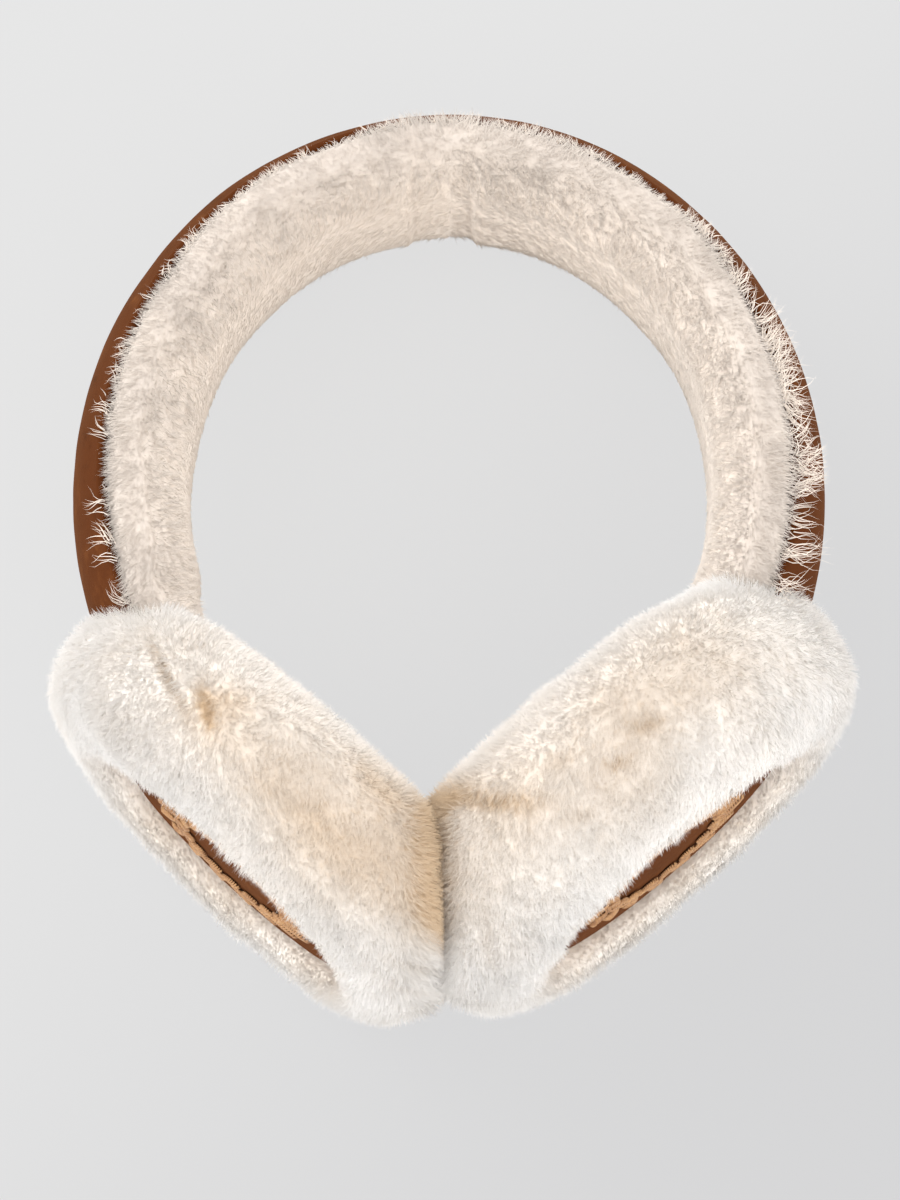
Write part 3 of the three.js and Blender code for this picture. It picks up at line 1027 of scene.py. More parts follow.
@dataclass(frozen=True)
class SuedeFinish:
    """Chestnut suede. Colours are linear."""

    name: str
    colour: Colour = (0.082, 0.0235, 0.0065)
    light: Colour = (0.15, 0.05, 0.014)
    dark: Colour = (0.045, 0.0125, 0.003)

    def material(self, groups: Groups) -> bpy.types.Material:
        """Makes the material.

        Args:
            groups: The shared node groups.

        Returns:
            The material.
        """
        sheen = {"Sheen Weight": 0.06, "Sheen Roughness": 0.3, "Sheen Tint": (0.9, 0.5, 0.2, 1.0)}
        material, w, shader = new_material(self.name, {"Specular IOR Level": 0.04} | sheen)
        nap = w.node("ShaderNodeGroup", node_tree=groups.nap)
        for label, colour in (("Colour", self.colour), ("Light", self.light), ("Dark", self.dark)):
            nap.inputs[label].default_value = (*colour, 1.0)
        w.feed(shader.inputs["Base Color"], nap.outputs["Color"])
        w.feed(shader.inputs["Roughness"], nap.outputs["Roughness"])
        w.raise_nap(shader, nap.outputs["Height"], strength=0.5, tall=0.2)
        return material


@dataclass(frozen=True)
class ThreadFinish:
    """Tan embroidery thread. Colours are linear."""

    name: str
    pale: Colour = (0.50, 0.27, 0.105)
    deep: Colour = (0.25, 0.105, 0.034)

    def material(self) -> bpy.types.Material:
        """Makes the material.

        Returns:
            The material.
        """
        plain = {"Roughness": 0.55, "Sheen Weight": 0.2, "Sheen Tint": (1.0, 0.8, 0.6, 1.0)}
        material, w, shader = new_material(self.name, plain)
        place = w.place()
        twist = w.spread(w.noise(place, 0.5, 2.0), 0.35, 0.7)
        cloud = w.spread(w.noise(place, 4.0, 2.0), 0.35, 0.65)
        share = w.math("ADD", w.times(twist, 0.6), w.times(cloud, 0.4))
        w.feed(shader.inputs["Base Color"], w.mix(share, (*self.deep, 1.0), (*self.pale, 1.0)))
        w.raise_nap(shader, twist, strength=0.4, tall=0.1)
        return material


def place_piece(
    piece: bpy.types.Object, material: bpy.types.Material, node: str
) -> None:
    """Dresses a piece, hangs it under the root and hides the solid that it stands for.

    Args:
        piece: The finished piece.
        material: Its finish.
        node: The solid that it replaces.
    """
    piece.data.materials.append(material)
    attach(piece, "root")
    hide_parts(node)
    faces = sum(len(p.vertices) - 2 for p in piece.data.polygons)
    log.info("%s: %d triangles", piece.name, faces)


# The headband


@dataclass
class Strap:
    """The suede strap over the arch, with soft edges and a faint wave in its leather.

    Fields:
        steps: How many sections it has from end to end.
        across: How many points lie over its face.
        edge: How many points round each edge.
        ripple: How high the waves are, in millimetres.
        least_rest: How far it stays above the table, in millimetres.
        seed: Makes the same leather each time.
    """

    steps: int = 220
    across: int = 16
    edge: int = 5
    ripple: float = 0.16
    least_rest: float = 0.3
    seed: int = 5

    def section(self) -> Array:
        """The strap's section, as rows of how far out and how far forward.

        Returns:
            The rows, once round the section.
        """
        bend = ARCH.suede / 2.0
        reach = ARCH.depth / 2.0 - bend
        flat = np.linspace(-1.0, 1.0, self.across) * reach
        turn = np.linspace(0.0, math.pi, self.edge + 2)[1:-1]
        top = np.stack([-ARCH.drop(flat), flat], axis=1)
        bottom = np.stack([-ARCH.suede - ARCH.drop(flat[::-1]), flat[::-1]], axis=1)
        middle = -bend - ARCH.drop(reach)
        near = np.stack([middle + bend * np.cos(turn), reach + bend * np.sin(turn)], axis=1)
        far = np.stack([middle - bend * np.cos(turn), -reach - bend * np.sin(turn)], axis=1)
        return np.vstack([top, near, bottom, far])

    def build(self, material: bpy.types.Material) -> None:
        """Builds and places the strap.

        Args:
            material: Its finish.
        """
        section = self.section()
        along = np.linspace(*ARCH.ends, self.steps)
        grid = ARCH.at(along[:, None], section[None, :, 0], section[None, :, 1])
        wave = wander(grid, 16.0, self.seed) + 0.4 * wander(grid, 5.0, self.seed + 1)
        grid = grid + self.ripple * wave[..., None] * ARCH.outward(along)[:, None]
        # Painted shade: the rows round the strap's edges darken towards its underside, which is dark all
        # over.
        into = np.linspace(0.0, 1.0, self.edge)
        shade = np.concatenate([np.zeros(self.across), into, np.ones(self.across), into[::-1]])
        shades = np.broadcast_to(shade, grid.shape[:2])
        skin = Sheet.bare(LIE.rest(grid, self.least_rest), shades).turned_over()
        piece = to_mesh("headband_suede_strap", skin.patches(1.0))
        place_piece(piece, material, "headband_suede")


@dataclass
class Lining:
    """The fleece inside the arch, which bulges in towards the head and spills over the strap's edge.

    The tables swell, verge and curly have a row for an angle from the top of the arch, in degrees: swell is
    how deep the fleece is there as a share of its depth, verge is how far its edge covers the strap's, in
    millimetres, and curly is how thick the curls stand there. The table glow has a row for a share of the
    way across the fleece from its edge, and is how pale it is painted there: painted light on the head's
    side, which lies in the arch's shade. The table section has a row for each point of the fleece's front
    half: how far forward it is, as a share of half the arch's depth, and how far in, as a share of the
    fleece's depth.
    """

    depth: float = 26.0
    root_depth: float = 2.2
    lying: float = 0.8
    steps: int = 200
    rows: int = 44
    back_rows: int = 7
    hairs: int = 46000
    curls: int = 1750
    tufts: int = 300
    joints: int = 5
    seed: int = 41
    section: Table = (
        (0.985, 0.375), (1.09, 0.41), (1.15, 0.57), (0.92, 0.8), (0.5, 0.96), (0.0, 1.0),
    )
    swell: Table = (
        (-125, 0.75), (-114, 0.88), (-106, 0.97), (-80, 0.985), (-50, 0.94), (-24, 0.9), (-8.5, 0.895),
        (-7, 0.85), (4.2, 0.835), (6, 0.9), (12, 0.9), (50, 0.94), (85, 0.98), (120, 0.98),
    )
    verge: Table = (
        (-125, 3.0), (-106, 2.7), (-60, 1.9), (-48, 0.6), (-18, 0.2), (-12, 3.0), (-7, 4.0), (-3, 2.6),
        (16, 2.6), (24, 2.2), (30, 0.8), (41, 0.1), (45, 3.0), (52, 3.4), (57, 1.0), (70, 0.8), (84, 1.2),
        (88, 6.2), (92, 6.4), (95, 2.6), (104, 2.4), (125, 3.0),
    )
    # Painted light: the fleece is painted paler towards the middle of the head's side, which lies in the
    # arch's shade.
    glow: Table = (
        (0.0, 0.05), (0.05, 0.1), (0.1, 0.33), (0.15, 0.55), (0.22, 0.76), (0.3, 0.94), (0.5, 0.96),
    )
    curly: Table = (
        (-125, 0.1), (-106, 0.12), (-60, 0.25), (-50, 0.7), (-16, 1.0), (16, 1.0), (26, 1.3), (30, 0.35),
        (41, 0.3), (45, 1.0), (60, 1.3), (84, 1.3), (92, 1.0), (96, 0.4), (103, 0.9), (125, 0.3),
    )

    def sections(self, along: Array) -> tuple[Array, Array]:
        """Lays out the lining's section at each angle, with a seat against the strap.

        Args:
            along: Degrees from the top of the arch.

        Returns:
            How far out and how far forward each point is.
        """
        half = ARCH.depth / 2.0
        bulge = [(across * half, -deep) for across, deep in self.section]
        line = Curve([*bulge, *[(-a, d) for a, d in bulge[-2::-1]]]).at(np.linspace(0.0, 1.0, self.rows))[0]
        back = np.linspace(-1.0, 1.0, self.back_rows)
        deep = (self.depth - self.root_depth) * eased(along, self.swell)
        seat = -ARCH.suede - ARCH.clearance - ARCH.drop(back * half)
        seats = np.broadcast_to(seat, (len(along), self.back_rows))
        out = np.concatenate([line[None, :, 1] * deep[:, None], seats], axis=1)
        return out, np.concatenate([line[:, 0], back * (half + ARCH.clearance)])[None]

    def combed(self, turned: Array, share: Array, inner: Array, over: Array) -> Array:
        """Combs the fleece: out over the strap's edges, in round the bends, and down on the head's side.

        Args:
            turned: Degrees from the top of the arch.
            share: Shares of the way across the fleece, from its front edge to its back one.
            inner: How much of the head's side each point is.
            over: How much of the edge over the strap each point is.

        Returns:
            The comb at each point.
        """
        edge = np.minimum(share, 1.0 - share)
        stream = np.clip((edge - 0.1) / 0.2, 0.0, 1.0) * (1.0 - inner)
        outward = (1.6 * over - stream)[..., None] * ARCH.outward(turned)
        forward = (0.15 * np.sign(0.5 - share) * (1.0 - over))[..., None] * FRONT
        return outward + forward + (0.25 + 1.6 * inner)[..., None] * ARCH.downward(turned)

    def lengths(self, grid: Array, turned: Array, inner: Array, over: Array) -> Array:
        """Works out how long the fleece is: shorn on the head's side and ragged over the strap's edge.

        Args:
            grid: The skin's points.
            turned: Degrees from the top of the arch.
            inner: How much of the head's side each point is.
            over: How much of the edge over the strap each point is.

        Returns:
            The length at each point, in millimetres.
        """
        reach = eased(turned, self.verge) + 1.2 * wander(grid, 3.0, self.seed + 15) + 0.6
        length = 3.3 - 2.0 * inner + 0.6 * wander(grid, 9.0, self.seed + 9) * (1.0 - 0.6 * inner)
        ragged = 1.0 + 0.6 * wander(grid, 1.1, self.seed + 25)
        return length + over * (np.clip(reach, 0.5, 7.0) * ragged - length)

    def painted_light_and_streaks(self, places: Array, edge: Array, inner: Array) -> Array:
        """Works out how pale the fleece is painted: painted light on the head's side and at the arch's top,
        which lie in the arch's shade, painted shade on the head's side towards its right end, where the left
        box lights it, and streaks of its own tone.

        Args:
            places: Degrees from the top of the arch, and how far out and forward, three to a point.
            edge: Shares of the way across the fleece from its nearer edge.
            inner: How much of the head's side each point is.

        Returns:
            How pale it is painted at each point, from 0 to 1.
        """
        turned = places[..., 0]
        streak = wander(places * np.array([1.3, 0.25, 0.25]), 5.0, self.seed + 3)
        # Painted light on the head's side and at the arch's top, which lie in the arch's shade; the streaks
        # are the fleece's own tone.
        top = np.exp(-(((turned - 7.0) / 30.0) ** 2)) * np.clip((edge - 0.17) / 0.1, 0.0, 1.0)
        pale = eased(np.maximum(edge, 0.0), self.glow) + 0.3 * top + 0.12 * streak * (1.0 - inner)
        # Painted shade on the head's side towards the right end, where the left box lights it.
        return np.clip(pale - 0.16 * inner * np.clip((turned - 30.0) / 30.0, 0.0, 1.0), 0.0, 1.0)

    def skin(self) -> Sheet:
        """Works out the lining's skin and how its fleece grows.

        Returns:
            The skin.
        """
        along = np.linspace(*ARCH.ends, self.steps)
        out, forward = self.sections(along)
        grid = ARCH.at(along[:, None], out, forward)
        turned = np.broadcast_to(along[:, None], grid.shape[:2])
        places = np.stack(np.broadcast_arrays(turned, out, forward), axis=-1)
        across = np.concatenate([np.linspace(0.0, 1.0, self.rows), np.full(self.back_rows, -1.0)])
        share = np.broadcast_to(across, grid.shape[:2])
        fur = (share >= 0.0).astype(float)
        edge = np.minimum(share, 1.0 - share)
        start = np.where(share < 0.5, 0.24, 0.1)
        inner = np.clip((edge - start) / 0.12, 0.0, 1.0) * fur
        over = np.clip(1.0 - edge / 0.1, 0.0, 1.0) * fur
        lumps = 0.5 * wander(grid, 13.0, self.seed) + 0.25 * wander(grid, 5.5, self.seed + 5)
        grid = grid - (fur * lumps * (1.0 - 0.7 * inner))[..., None] * ARCH.outward(turned)
        comb = self.combed(turned, share, inner, over)
        length = self.lengths(grid, turned, inner, over)
        dense = fur * (1.0 + 0.6 * (share < 0.5) + 0.8 * over)
        grid = LIE.rest(grid, self.lying)
        return Sheet(grid, False, True, dense, length, comb, self.painted_light_and_streaks(places, edge, inner))

    def seen(self, angle: Array) -> Array:
        """How wide a strip of the strap shows from the front at each angle, in millimetres."""
        return np.maximum(7.3 - 6.15 * np.cos(np.radians(angle)), ARCH.suede)

    def curled(self) -> Hair:
        """Grows the loose curls that spill, a tuft at a time, from the strap's edges over its suede.

        Returns:
            The curls.
        """
        rng = np.random.default_rng(self.seed + 60)
        count = self.curls
        # where the tufts stand, which one each curl grows in, and how bold it is
        tries = rng.uniform(*ARCH.ends, self.tufts * 12)
        kept = tries[rng.random(len(tries)) < eased(tries, self.curly) / 2.0][: self.tufts]
        size = rng.uniform(0.25, 1.0, len(kept))
        tuft = rng.choice(len(kept), size=count, p=size / size.sum())
        lone = rng.random(count) < 0.12
        angle = kept[tuft] + rng.normal(0.0, 0.6, count) + lone * rng.normal(0.0, 4.0, count)
        bold = size[tuft] * rng.uniform(0.6, 1.1, count) * np.clip(eased(angle, self.curly), 0.25, 1.0)
        # most tufts are on the front edge, and each curl starts on fleece that covers the strap's edge
        side = np.where(rng.random(len(kept)) < 0.85, 1.0, -1.0)[tuft]
        seen = self.seen(angle)
        cover = np.minimum(eased(angle, self.verge), seen - 0.6) * rng.uniform(0.1, 1.0, count)
        forward = side * (ARCH.depth / 2.0 + rng.uniform(-0.1, 0.9, count))
        root = ARCH.at(angle, cover - ARCH.suede - ARCH.crown, forward)
        turn = rng.normal(-0.3, 0.9, len(kept))[tuft] + rng.normal(0.0, 0.3, count)
        ahead = side[:, None] * FRONT
        rise = rng.uniform(-0.35, 0.3, (count, 1))
        direction = unit(ARCH.outward(angle) + ARCH.downward(angle) * turn[:, None] + ahead * rise)
        far = np.maximum((seen - cover) * (0.55 + 0.95 * bold), 2.2)[:, None]
        # each curl winds about its own heading, in step with its tuft
        share = np.linspace(0.0, 1.0, self.joints)
        sideways = unit(np.cross(direction, ahead))
        start = rng.uniform(0.0, 2.0 * math.pi, len(kept))[tuft] + rng.normal(0.0, 0.8, count)
        phase = start[:, None] + share * rng.uniform(2.0, 4.5, (count, 1))
        bend = rng.uniform(0.3, 0.75, (count, 1)) * far * 0.5 * share
        sway = np.cos(phase)[..., None] * sideways[:, None] + 0.6 * np.sin(phase)[..., None] * ahead[:, None]
        paths = root[:, None] + direction[:, None] * (far * share)[..., None] + bend[..., None] * sway
        width = rng.uniform(0.12, 0.27, count)
        pale = rng.uniform(0.35, 0.8, count)
        return Hair(LIE.rest(paths, HAIR_REST), ahead, width, pale, rng.normal(0.0, 1.0, count))

    def build(self, material: bpy.types.Material) -> None:
        """Builds and places the lining.

        Args:
            material: Its finish.
        """
        skin = self.skin()

        def keep(points: Array) -> Array:
            """Keeps hairs above the table."""
            return LIE.rest(points, HAIR_REST)

        growth = Growth(self.hairs, lift=0.5, swirl=0.1, swirl_size=9.0, pull=0.1)
        coat = spun(grow(skin, growth, self.seed, keep), growth.softness, (0.16, 0.88))
        patches = [*skin.patches(SKIN_BAND), coat, spun(self.curled(), 0.6, (0.89, 0.995))]
        place_piece(to_mesh("headband_fleece_lining", patches), material, "headband_fur")


# The cups


@dataclass(frozen=True)
class Press:
    """A dent or tuft in a cup's fleece.

    Fields:
        share: Where it is along the section, from 0 at the panel to 1 in the middle of the ear side.
        around: Degrees round from the end that hangs lowest.
        high: Its size along the section, as a share.
        wide: Its size round the cup, in degrees.
        depth: How deep it is, in millimetres, less than 0 for a tuft that stands up.
        warm: How tan it is, from 0 to 1: painted shade in a dent, the fleece's own tan in a broad, flat
            patch.
        slant: How far round it runs as it goes along the section, in degrees for each share.
    """

    share: float
    around: float
    high: float
    wide: float
    depth: float
    warm: float = 0.0
    slant: float = 0.0

    def at(self, share: Array, around: Array) -> Array:
        """How strong it is at places on the cup, from 0 to 1.

        Args:
            share: How far along the section they are.
            around: Their degrees round the cup.

        Returns:
            Its strength at each.
        """
        middle = self.around + self.slant * (share - self.share)
        off = np.mod(around - middle + 180.0, 360.0) - 180.0
        return np.exp(-(((share - self.share) / self.high) ** 2) - (off / self.wide) ** 2)


@dataclass
class Cup:
    """One ear cup: pad, cuff, suede panel and wreath. Lengths are millimetres.

    Fields:
        side: Which side of the head it is on.
        entry: Where the strap enters it, in degrees from the top of the arch.
        lean: The angle of its face, in degrees.
        along: How far down from there its middle is, as a share of its radius.
        across: How far out from there its middle is, as a share of half its thickness.
        loft: How full it is, as a share of the full thickness.
        ends: How far its lowest and its highest rim reach, as shares of its radius.
        presses: The dents and tufts in its fleece.
        seed: Makes the same fleece each time.
        glow: How tan its lower part is, from 0 to 1.
        radius: How far its rim is from its middle.
        thickness: How thick it is where it is full.
        panel_radius: How far the suede panel's edge is from its middle.
        panel_thickness: How thick the panel is.
        panel_crown: How far the panel's middle stands up over its edge.
        panel_recess: How far the panel's middle lies under the cuff's top.
        root_depth: How far the skin lies under the tips of the fleece.
        meeting: Where along X the two cups meet.
        touch: How far the skins reach past that plane.
        mingle: How far the hairs reach past it.
        softness: How gently the fleece rounds into that plane.
        gather: How much narrower than the cup the pad and the cuff are where they face each other.
        parting: How far from the cup's middle plane those faces lie.
        columns: How many points a row of its skin has.
        pad_hairs: How many hairs the pad has.
        cuff_hairs: How many hairs the cuff has.
        length: How long the fleece is, by share of the way along the section.
    """

    side: Side
    entry: float
    lean: float
    along: float
    across: float
    loft: float
    ends: tuple[float, float]
    presses: tuple[Press, ...]
    seed: int
    glow: float
    radius: float = 53.0
    thickness: float = 38.0
    panel_radius: float = 32.0
    panel_thickness: float = 2.0
    panel_crown: float = 1.2
    panel_recess: float = 5.0
    root_depth: float = 2.4
    meeting: float = -3.2465
    touch: float = 0.3
    mingle: float = 2.6
    softness: float = 1.2
    gather: float = 6.0
    parting: float = 0.4
    columns: int = 160
    pad_hairs: int = 53000
    cuff_hairs: int = 47000
    length: Table = ((0.0, 1.2), (0.05, 2.0), (0.11, 2.8), (0.2, 3.1), (1.0, 3.0))

    def __post_init__(self) -> None:
        """Works out the cup's own axes and the curve of its section."""
        inward = -self.side.value
        lean = math.radians(self.lean)
        down = np.array([inward * math.sin(lean), -math.cos(lean), 0.0])
        out = np.array([-inward * math.cos(lean), -math.sin(lean), 0.0])
        across = np.cross(out, down)
        self.axes = np.stack([down, across, out])
        entry = ARCH.at(np.array(self.entry), np.array(0.0), np.array(0.0))
        self.half = self.loft * self.thickness / 2.0
        self.centre = entry + down * self.along * self.radius + out * self.across * self.thickness / 2.0
        foot, wide, half = self.panel_radius - 0.3, self.radius, self.half
        sunk = half - self.panel_recess - self.panel_crown
        self.section = Curve([
            (foot, sunk - 0.4), (foot + 0.4, sunk + 2.4), (foot + 2.4, half - 1.3), (0.74 * wide, half),
            (0.93 * wide, 0.66 * half), (wide, 0.0), (0.93 * wide, -0.66 * half),
            (0.72 * wide, -0.95 * half), (0.35 * wide, -half), (0.0, -half),
        ])
        widest = self.section.path[:, 0].argmax()
        self.seam = self.section.length[widest] / self.section.length[-1]

    def to_own(self, points: Array) -> Array:
        """Takes points from the cup's axes to the earmuffs'."""
        return points @ self.axes + self.centre

    def reach(self, around: Array) -> Array:
        """How far the rim swells, round the cup from the end that hangs lowest."""
        low, high = self.ends
        return eased_round(around, [(0, low), (60, 1.0), (120, 1.01), (180, high), (240, 1.01), (300, 1.0)])

    def surface(self, share: Array, around: Array, sunk: float) -> Array:
        """Finds places on the cup's fleece.

        Args:
            share: How far along the section, from 0 at the panel to 1 in the middle of the ear side.
            around: Degrees round from the end that hangs lowest.
            sunk: How far under the tips, in millimetres.

        Returns:
            The places, in the cup's axes.
        """
        place, tangent = self.section.at(share)
        deep = sunk * np.clip(share / 0.1, 0.15, 1.0)
        out = -deep - sum(p.depth * p.at(share, around) for p in self.presses)
        swell = 1.0 + (self.reach(around) - 1.0) * np.clip(share / 0.15, 0.0, 1.0)
        r = place[..., 0] * swell - tangent[..., 1] * out
        height = place[..., 1] + tangent[..., 0] * out
        turn = np.radians(around)
        return np.stack([r * np.cos(turn), r * np.sin(turn), height], axis=-1)

    def panel_top(self, radius: Array) -> Array:
        """How high the panel's crowned top is, at a radius."""
        return self.half - self.panel_recess - self.panel_crown * (radius / self.panel_radius) ** 2

    def settle(self, points: Array, over: float, above: float) -> Array:
        """Presses fleece against the other cup and the table.

        Args:
            points: Places in the earmuffs' axes.
            over: How far they may reach past the plane where the cups meet, in millimetres.
            above: How far they stay above the table, in millimetres.

        Returns:
            The places, pressed flat where they would reach too far.
        """
        soft = self.softness
        past = self.past_meeting(points) + over
        moved = points.copy()
        pressed = soft * np.logaddexp(0.0, past / soft) - over
        moved[..., 0] = self.meeting + float(self.side.value) * pressed
        return LIE.rest(moved, above)

    def ring(self, radius: Array, height: Array, around: Array) -> Array:
        """Places on plain circles about the cup's axis."""
        radius, height, turn = np.broadcast_arrays(radius, height, np.radians(around))
        return np.stack([radius * np.cos(turn), radius * np.sin(turn), height], axis=-1)

    def past_meeting(self, own: Array) -> Array:
        """How far points are on this cup's side of the plane where the cups meet."""
        return (own[..., 0] - self.meeting) * float(self.side.value)

    def cleft(self, own: Array) -> tuple[Array, Array]:
        """How much of the cleft between the cups points are, and how low in it they are."""
        near = np.maximum(self.past_meeting(own), 0.0)
        return np.exp(-((near / 3.5) ** 2)), np.clip((-77.0 - own[..., 1]) / 8.0, 0.0, 1.0)

    def combed(self, own: Array, share: Array, around: Array) -> Array:
        """Combs the fleece: towards the ear side and down, and in and up where the cups meet.

        Args:
            own: The skin's points, in the earmuffs' axes.
            share: How far along the section they are.
            around: Their degrees round the cup.

        Returns:
            The comb at each point.
        """
        ahead = self.surface(share + 0.01, around, self.root_depth)
        to_ear = unit(ahead - self.surface(share - 0.01, around, self.root_depth)) @ self.axes
        side = np.clip((share - self.seam - 0.13) / 0.1, -1.0, 1.0)
        side = side + np.clip(1.0 - share / 0.1, 0.0, 1.0) * (1.4 - side)
        cleft, low = self.cleft(own)
        into = np.array([-float(self.side.value), 0.0, 0.0])
        mend = (0.6 + 1.2 * low)[..., None] * into + (0.9 - 0.5 * low)[..., None] * FRONT
        return 0.45 * side[..., None] * to_ear + 0.35 * self.axes[0] + cleft[..., None] * mend

    def lengths(self, own: Array, share: Array) -> Array:
        """Works out how long the fleece is: ragged on the lip by the panel and longer in the cleft.

        Args:
            own: The skin's points, in the earmuffs' axes.
            share: How far along the section they are.

        Returns:
            The length at each point, in millimetres.
        """
        cleft, low = self.cleft(own)
        extra = (1.6 + 2.2 * low) * cleft * (1.0 + 0.5 * wander(own, 2.0, self.seed + 51))
        length = eased(share, self.length) + 0.45 * wander(own, 8.0, self.seed + 21) + extra
        lip = np.exp(-(((share - 0.1) / 0.06) ** 2))
        return np.maximum(length * (1.0 + 0.55 * lip * wander(own, 1.5, self.seed + 41)), 0.5)

    def tans_and_painted_shade(self, own: Array, share: Array, around: Array) -> Array:
        """Works out how tan the fleece is: painted shade in the cleft, by the panel and in the dents, and
        its own tan lower down.

        Args:
            own: The skin's points, in the earmuffs' axes.
            share: How far along the section they are.
            around: Their degrees round the cup.

        Returns:
            How tan it is at each point, from 0 to 1.
        """
        # Painted shade: tan in the cleft where the two cups press together, strongest at the plane where
        # they meet.
        near = np.maximum(self.past_meeting(own), 0.0)
        seam = 0.8 * np.exp(-((near / 3.4) ** 2)) + 0.2 * np.exp(-((near / 9.0) ** 2))
        lower = np.clip((-24.0 - own[..., 1]) / 18.0, 0.0, 1.0) * np.clip(share / 0.2 - 0.6, 0.0, 1.0)
        white_end = 1.0 - 0.9 * np.clip((-92.0 - own[..., 1]) / 6.0, 0.0, 1.0)
        # Painted shade and painted reflection of the suede: tan on the lip that falls into the panel's
        # recess.
        rim = np.clip(1.0 - share / 0.12, 0.0, 1.0)
        warmth = 0.03 + (seam + self.glow * lower) * white_end + 0.5 * rim
        warmth = warmth + 0.1 * wander(own, 12.0, self.seed + 31)
        # The presses add painted shade in their dents and the fleece's own tan in their broad, flat patches.
        return np.clip(warmth + sum(p.warm * p.at(share, around) for p in self.presses), 0.0, 1.0)

    def lumps(self, own: Array) -> Array:
        """The soft lumps of the fleece, in millimetres."""
        return 0.6 * wander(own, 12.0, self.seed) + 0.35 * wander(own, 5.0, self.seed + 7)

    def pad_skin(self) -> Sheet:
        """The skin of the pad: the ear side, closed across the middle of the cup.

        Returns:
            The skin.
        """
        wide = np.linspace(1.0, 0.05, 6)[1:] * (self.radius - self.gather)
        return self.dressed_skin(np.linspace(0.996, self.seam, 56), wide, np.full(5, -self.parting), False)

    def cuff_skin(self) -> Sheet:
        """The skin of the cuff: the outer side down to the panel, closed under it.

        Returns:
            The skin.
        """
        seat = self.panel_radius + 0.3
        low = float(self.panel_top(np.array(self.panel_radius))) - 0.6
        wide = np.array([seat, seat, self.radius - self.gather])
        return self.dressed_skin(
            np.linspace(self.seam, 0.0, 54), wide, np.array([low, self.parting, self.parting]), True
        )

    def dressed_skin(self, shares: Array, radii: Array, heights: Array, ring: bool) -> Sheet:
        """Lays out a skin with its lumps and fields, pressed against its neighbours.

        Args:
            shares: Where its rows of fleece are along the section.
            radii: How wide the rows are that close it out of sight.
            heights: How high those rows are, in the cup's axes.
            ring: Whether the skin closes on itself as a ring.

        Returns:
            The skin.
        """
        turn = np.linspace(0.0, 360.0, self.columns, endpoint=False)
        every = np.concatenate([shares, np.full(len(radii), self.seam)])
        share, around = np.meshgrid(every, turn, indexing="ij")
        fur = (np.arange(len(every)) < len(shares))[:, None] + 0.0 * around
        shell = self.surface(share[: len(shares)], around[: len(shares)], self.root_depth)
        own = self.to_own(np.concatenate([shell, self.ring(radii[:, None], heights[:, None], turn[None])]))
        away = self.surface(share, around, 0.0) - self.surface(share, around, self.root_depth)
        swell = fur * np.clip(share / 0.12, 0.1, 1.0) * self.lumps(own)
        own = own + swell[..., None] * (unit(away) @ self.axes)
        comb, length = self.combed(own, share, around), self.lengths(own, share)
        warmth = self.tans_and_painted_shade(own, share, around)
        own = self.settle(own, self.touch, 0.6)
        past = self.past_meeting(own)
        # thickest in front, by the panel and in the cleft, and thin where the cups press together
        dense = fur * np.where(own[..., 2] > 0.0, 1.5, 0.9) * np.where(past < -0.6, 0.15, 1.0)
        dense = dense * (1.0 + 0.7 * np.clip((0.28 - share) / 0.1, 0.0, 1.0))
        dense = dense * (1.0 + 1.2 * np.exp(-((past / 5.0) ** 2)))
        skin = Sheet(own, ring, True, dense, length, comb, warmth)
        if (skin.normals.reshape(own.shape) * (own - self.centre)).sum() < 0.0:
            skin = skin.turned_over()
        cleft = np.exp(-((self.past_meeting(skin.points) / 7.0) ** 2))
        facing = np.clip((skin.points[:, 2] + 12.0) / 12.0, -1.0, 1.0)
        skin.grain = unit(skin.grain + (1.6 * cleft * facing)[:, None] * FRONT)
        return skin

    def build_fleece(self, material: bpy.types.Material) -> None:
        """Builds and places the pad and the cuff.

        Args:
            material: Its finish.
        """
        name = self.side.name.lower()

        def keep(points: Array) -> Array:
            """Keeps hairs off the table and lets them reach a little into the other cup's fleece."""
            return self.settle(points, self.mingle, 0.1)

        for part, skin, hairs in (
            ("pad", self.pad_skin(), self.pad_hairs),
            ("cuff", self.cuff_skin(), self.cuff_hairs),
        ):
            growth = Growth(hairs)
            coat = spun(grow(skin, growth, self.seed + len(part), keep), growth.softness, (0.16, 1.0))
            piece = to_mesh(f"{name}_fleece_{part}", [*skin.patches(SKIN_BAND), coat])
            place_piece(piece, material, f"{name}_cup_{part}")

    def build_panel(self, material: bpy.types.Material) -> None:
        """Builds and places the suede panel.

        Args:
            material: Its finish.
        """
        name = self.side.name.lower()
        around = np.linspace(0.0, 360.0, 96, endpoint=False)[None]
        share = np.array([0.03, 0.15, 0.3, 0.45, 0.6, 0.72, 0.82, 0.9, 0.95, 0.98, 1.0])[:, None]
        r = share * self.panel_radius
        top = self.ring(r, self.panel_top(r) - 0.5 * np.clip((share - 0.95) / 0.05, 0, 1) ** 2, around)
        bottom = self.ring(r[::-1], self.panel_top(r[::-1]) - self.panel_thickness, around)
        grid = self.to_own(np.concatenate([top, bottom]))
        wave = 0.12 * wander(grid, 9.0, self.seed + 2)
        skin = Sheet.bare(grid + wave[..., None] * self.axes[2])
        if (skin.normals.reshape(grid.shape)[:5] @ self.axes[2]).sum() < 0.0:
            skin = skin.turned_over()
        piece = to_mesh(f"{name}_suede_panel", skin.patches(1.0))
        place_piece(piece, material, f"{name}_cup_panel")


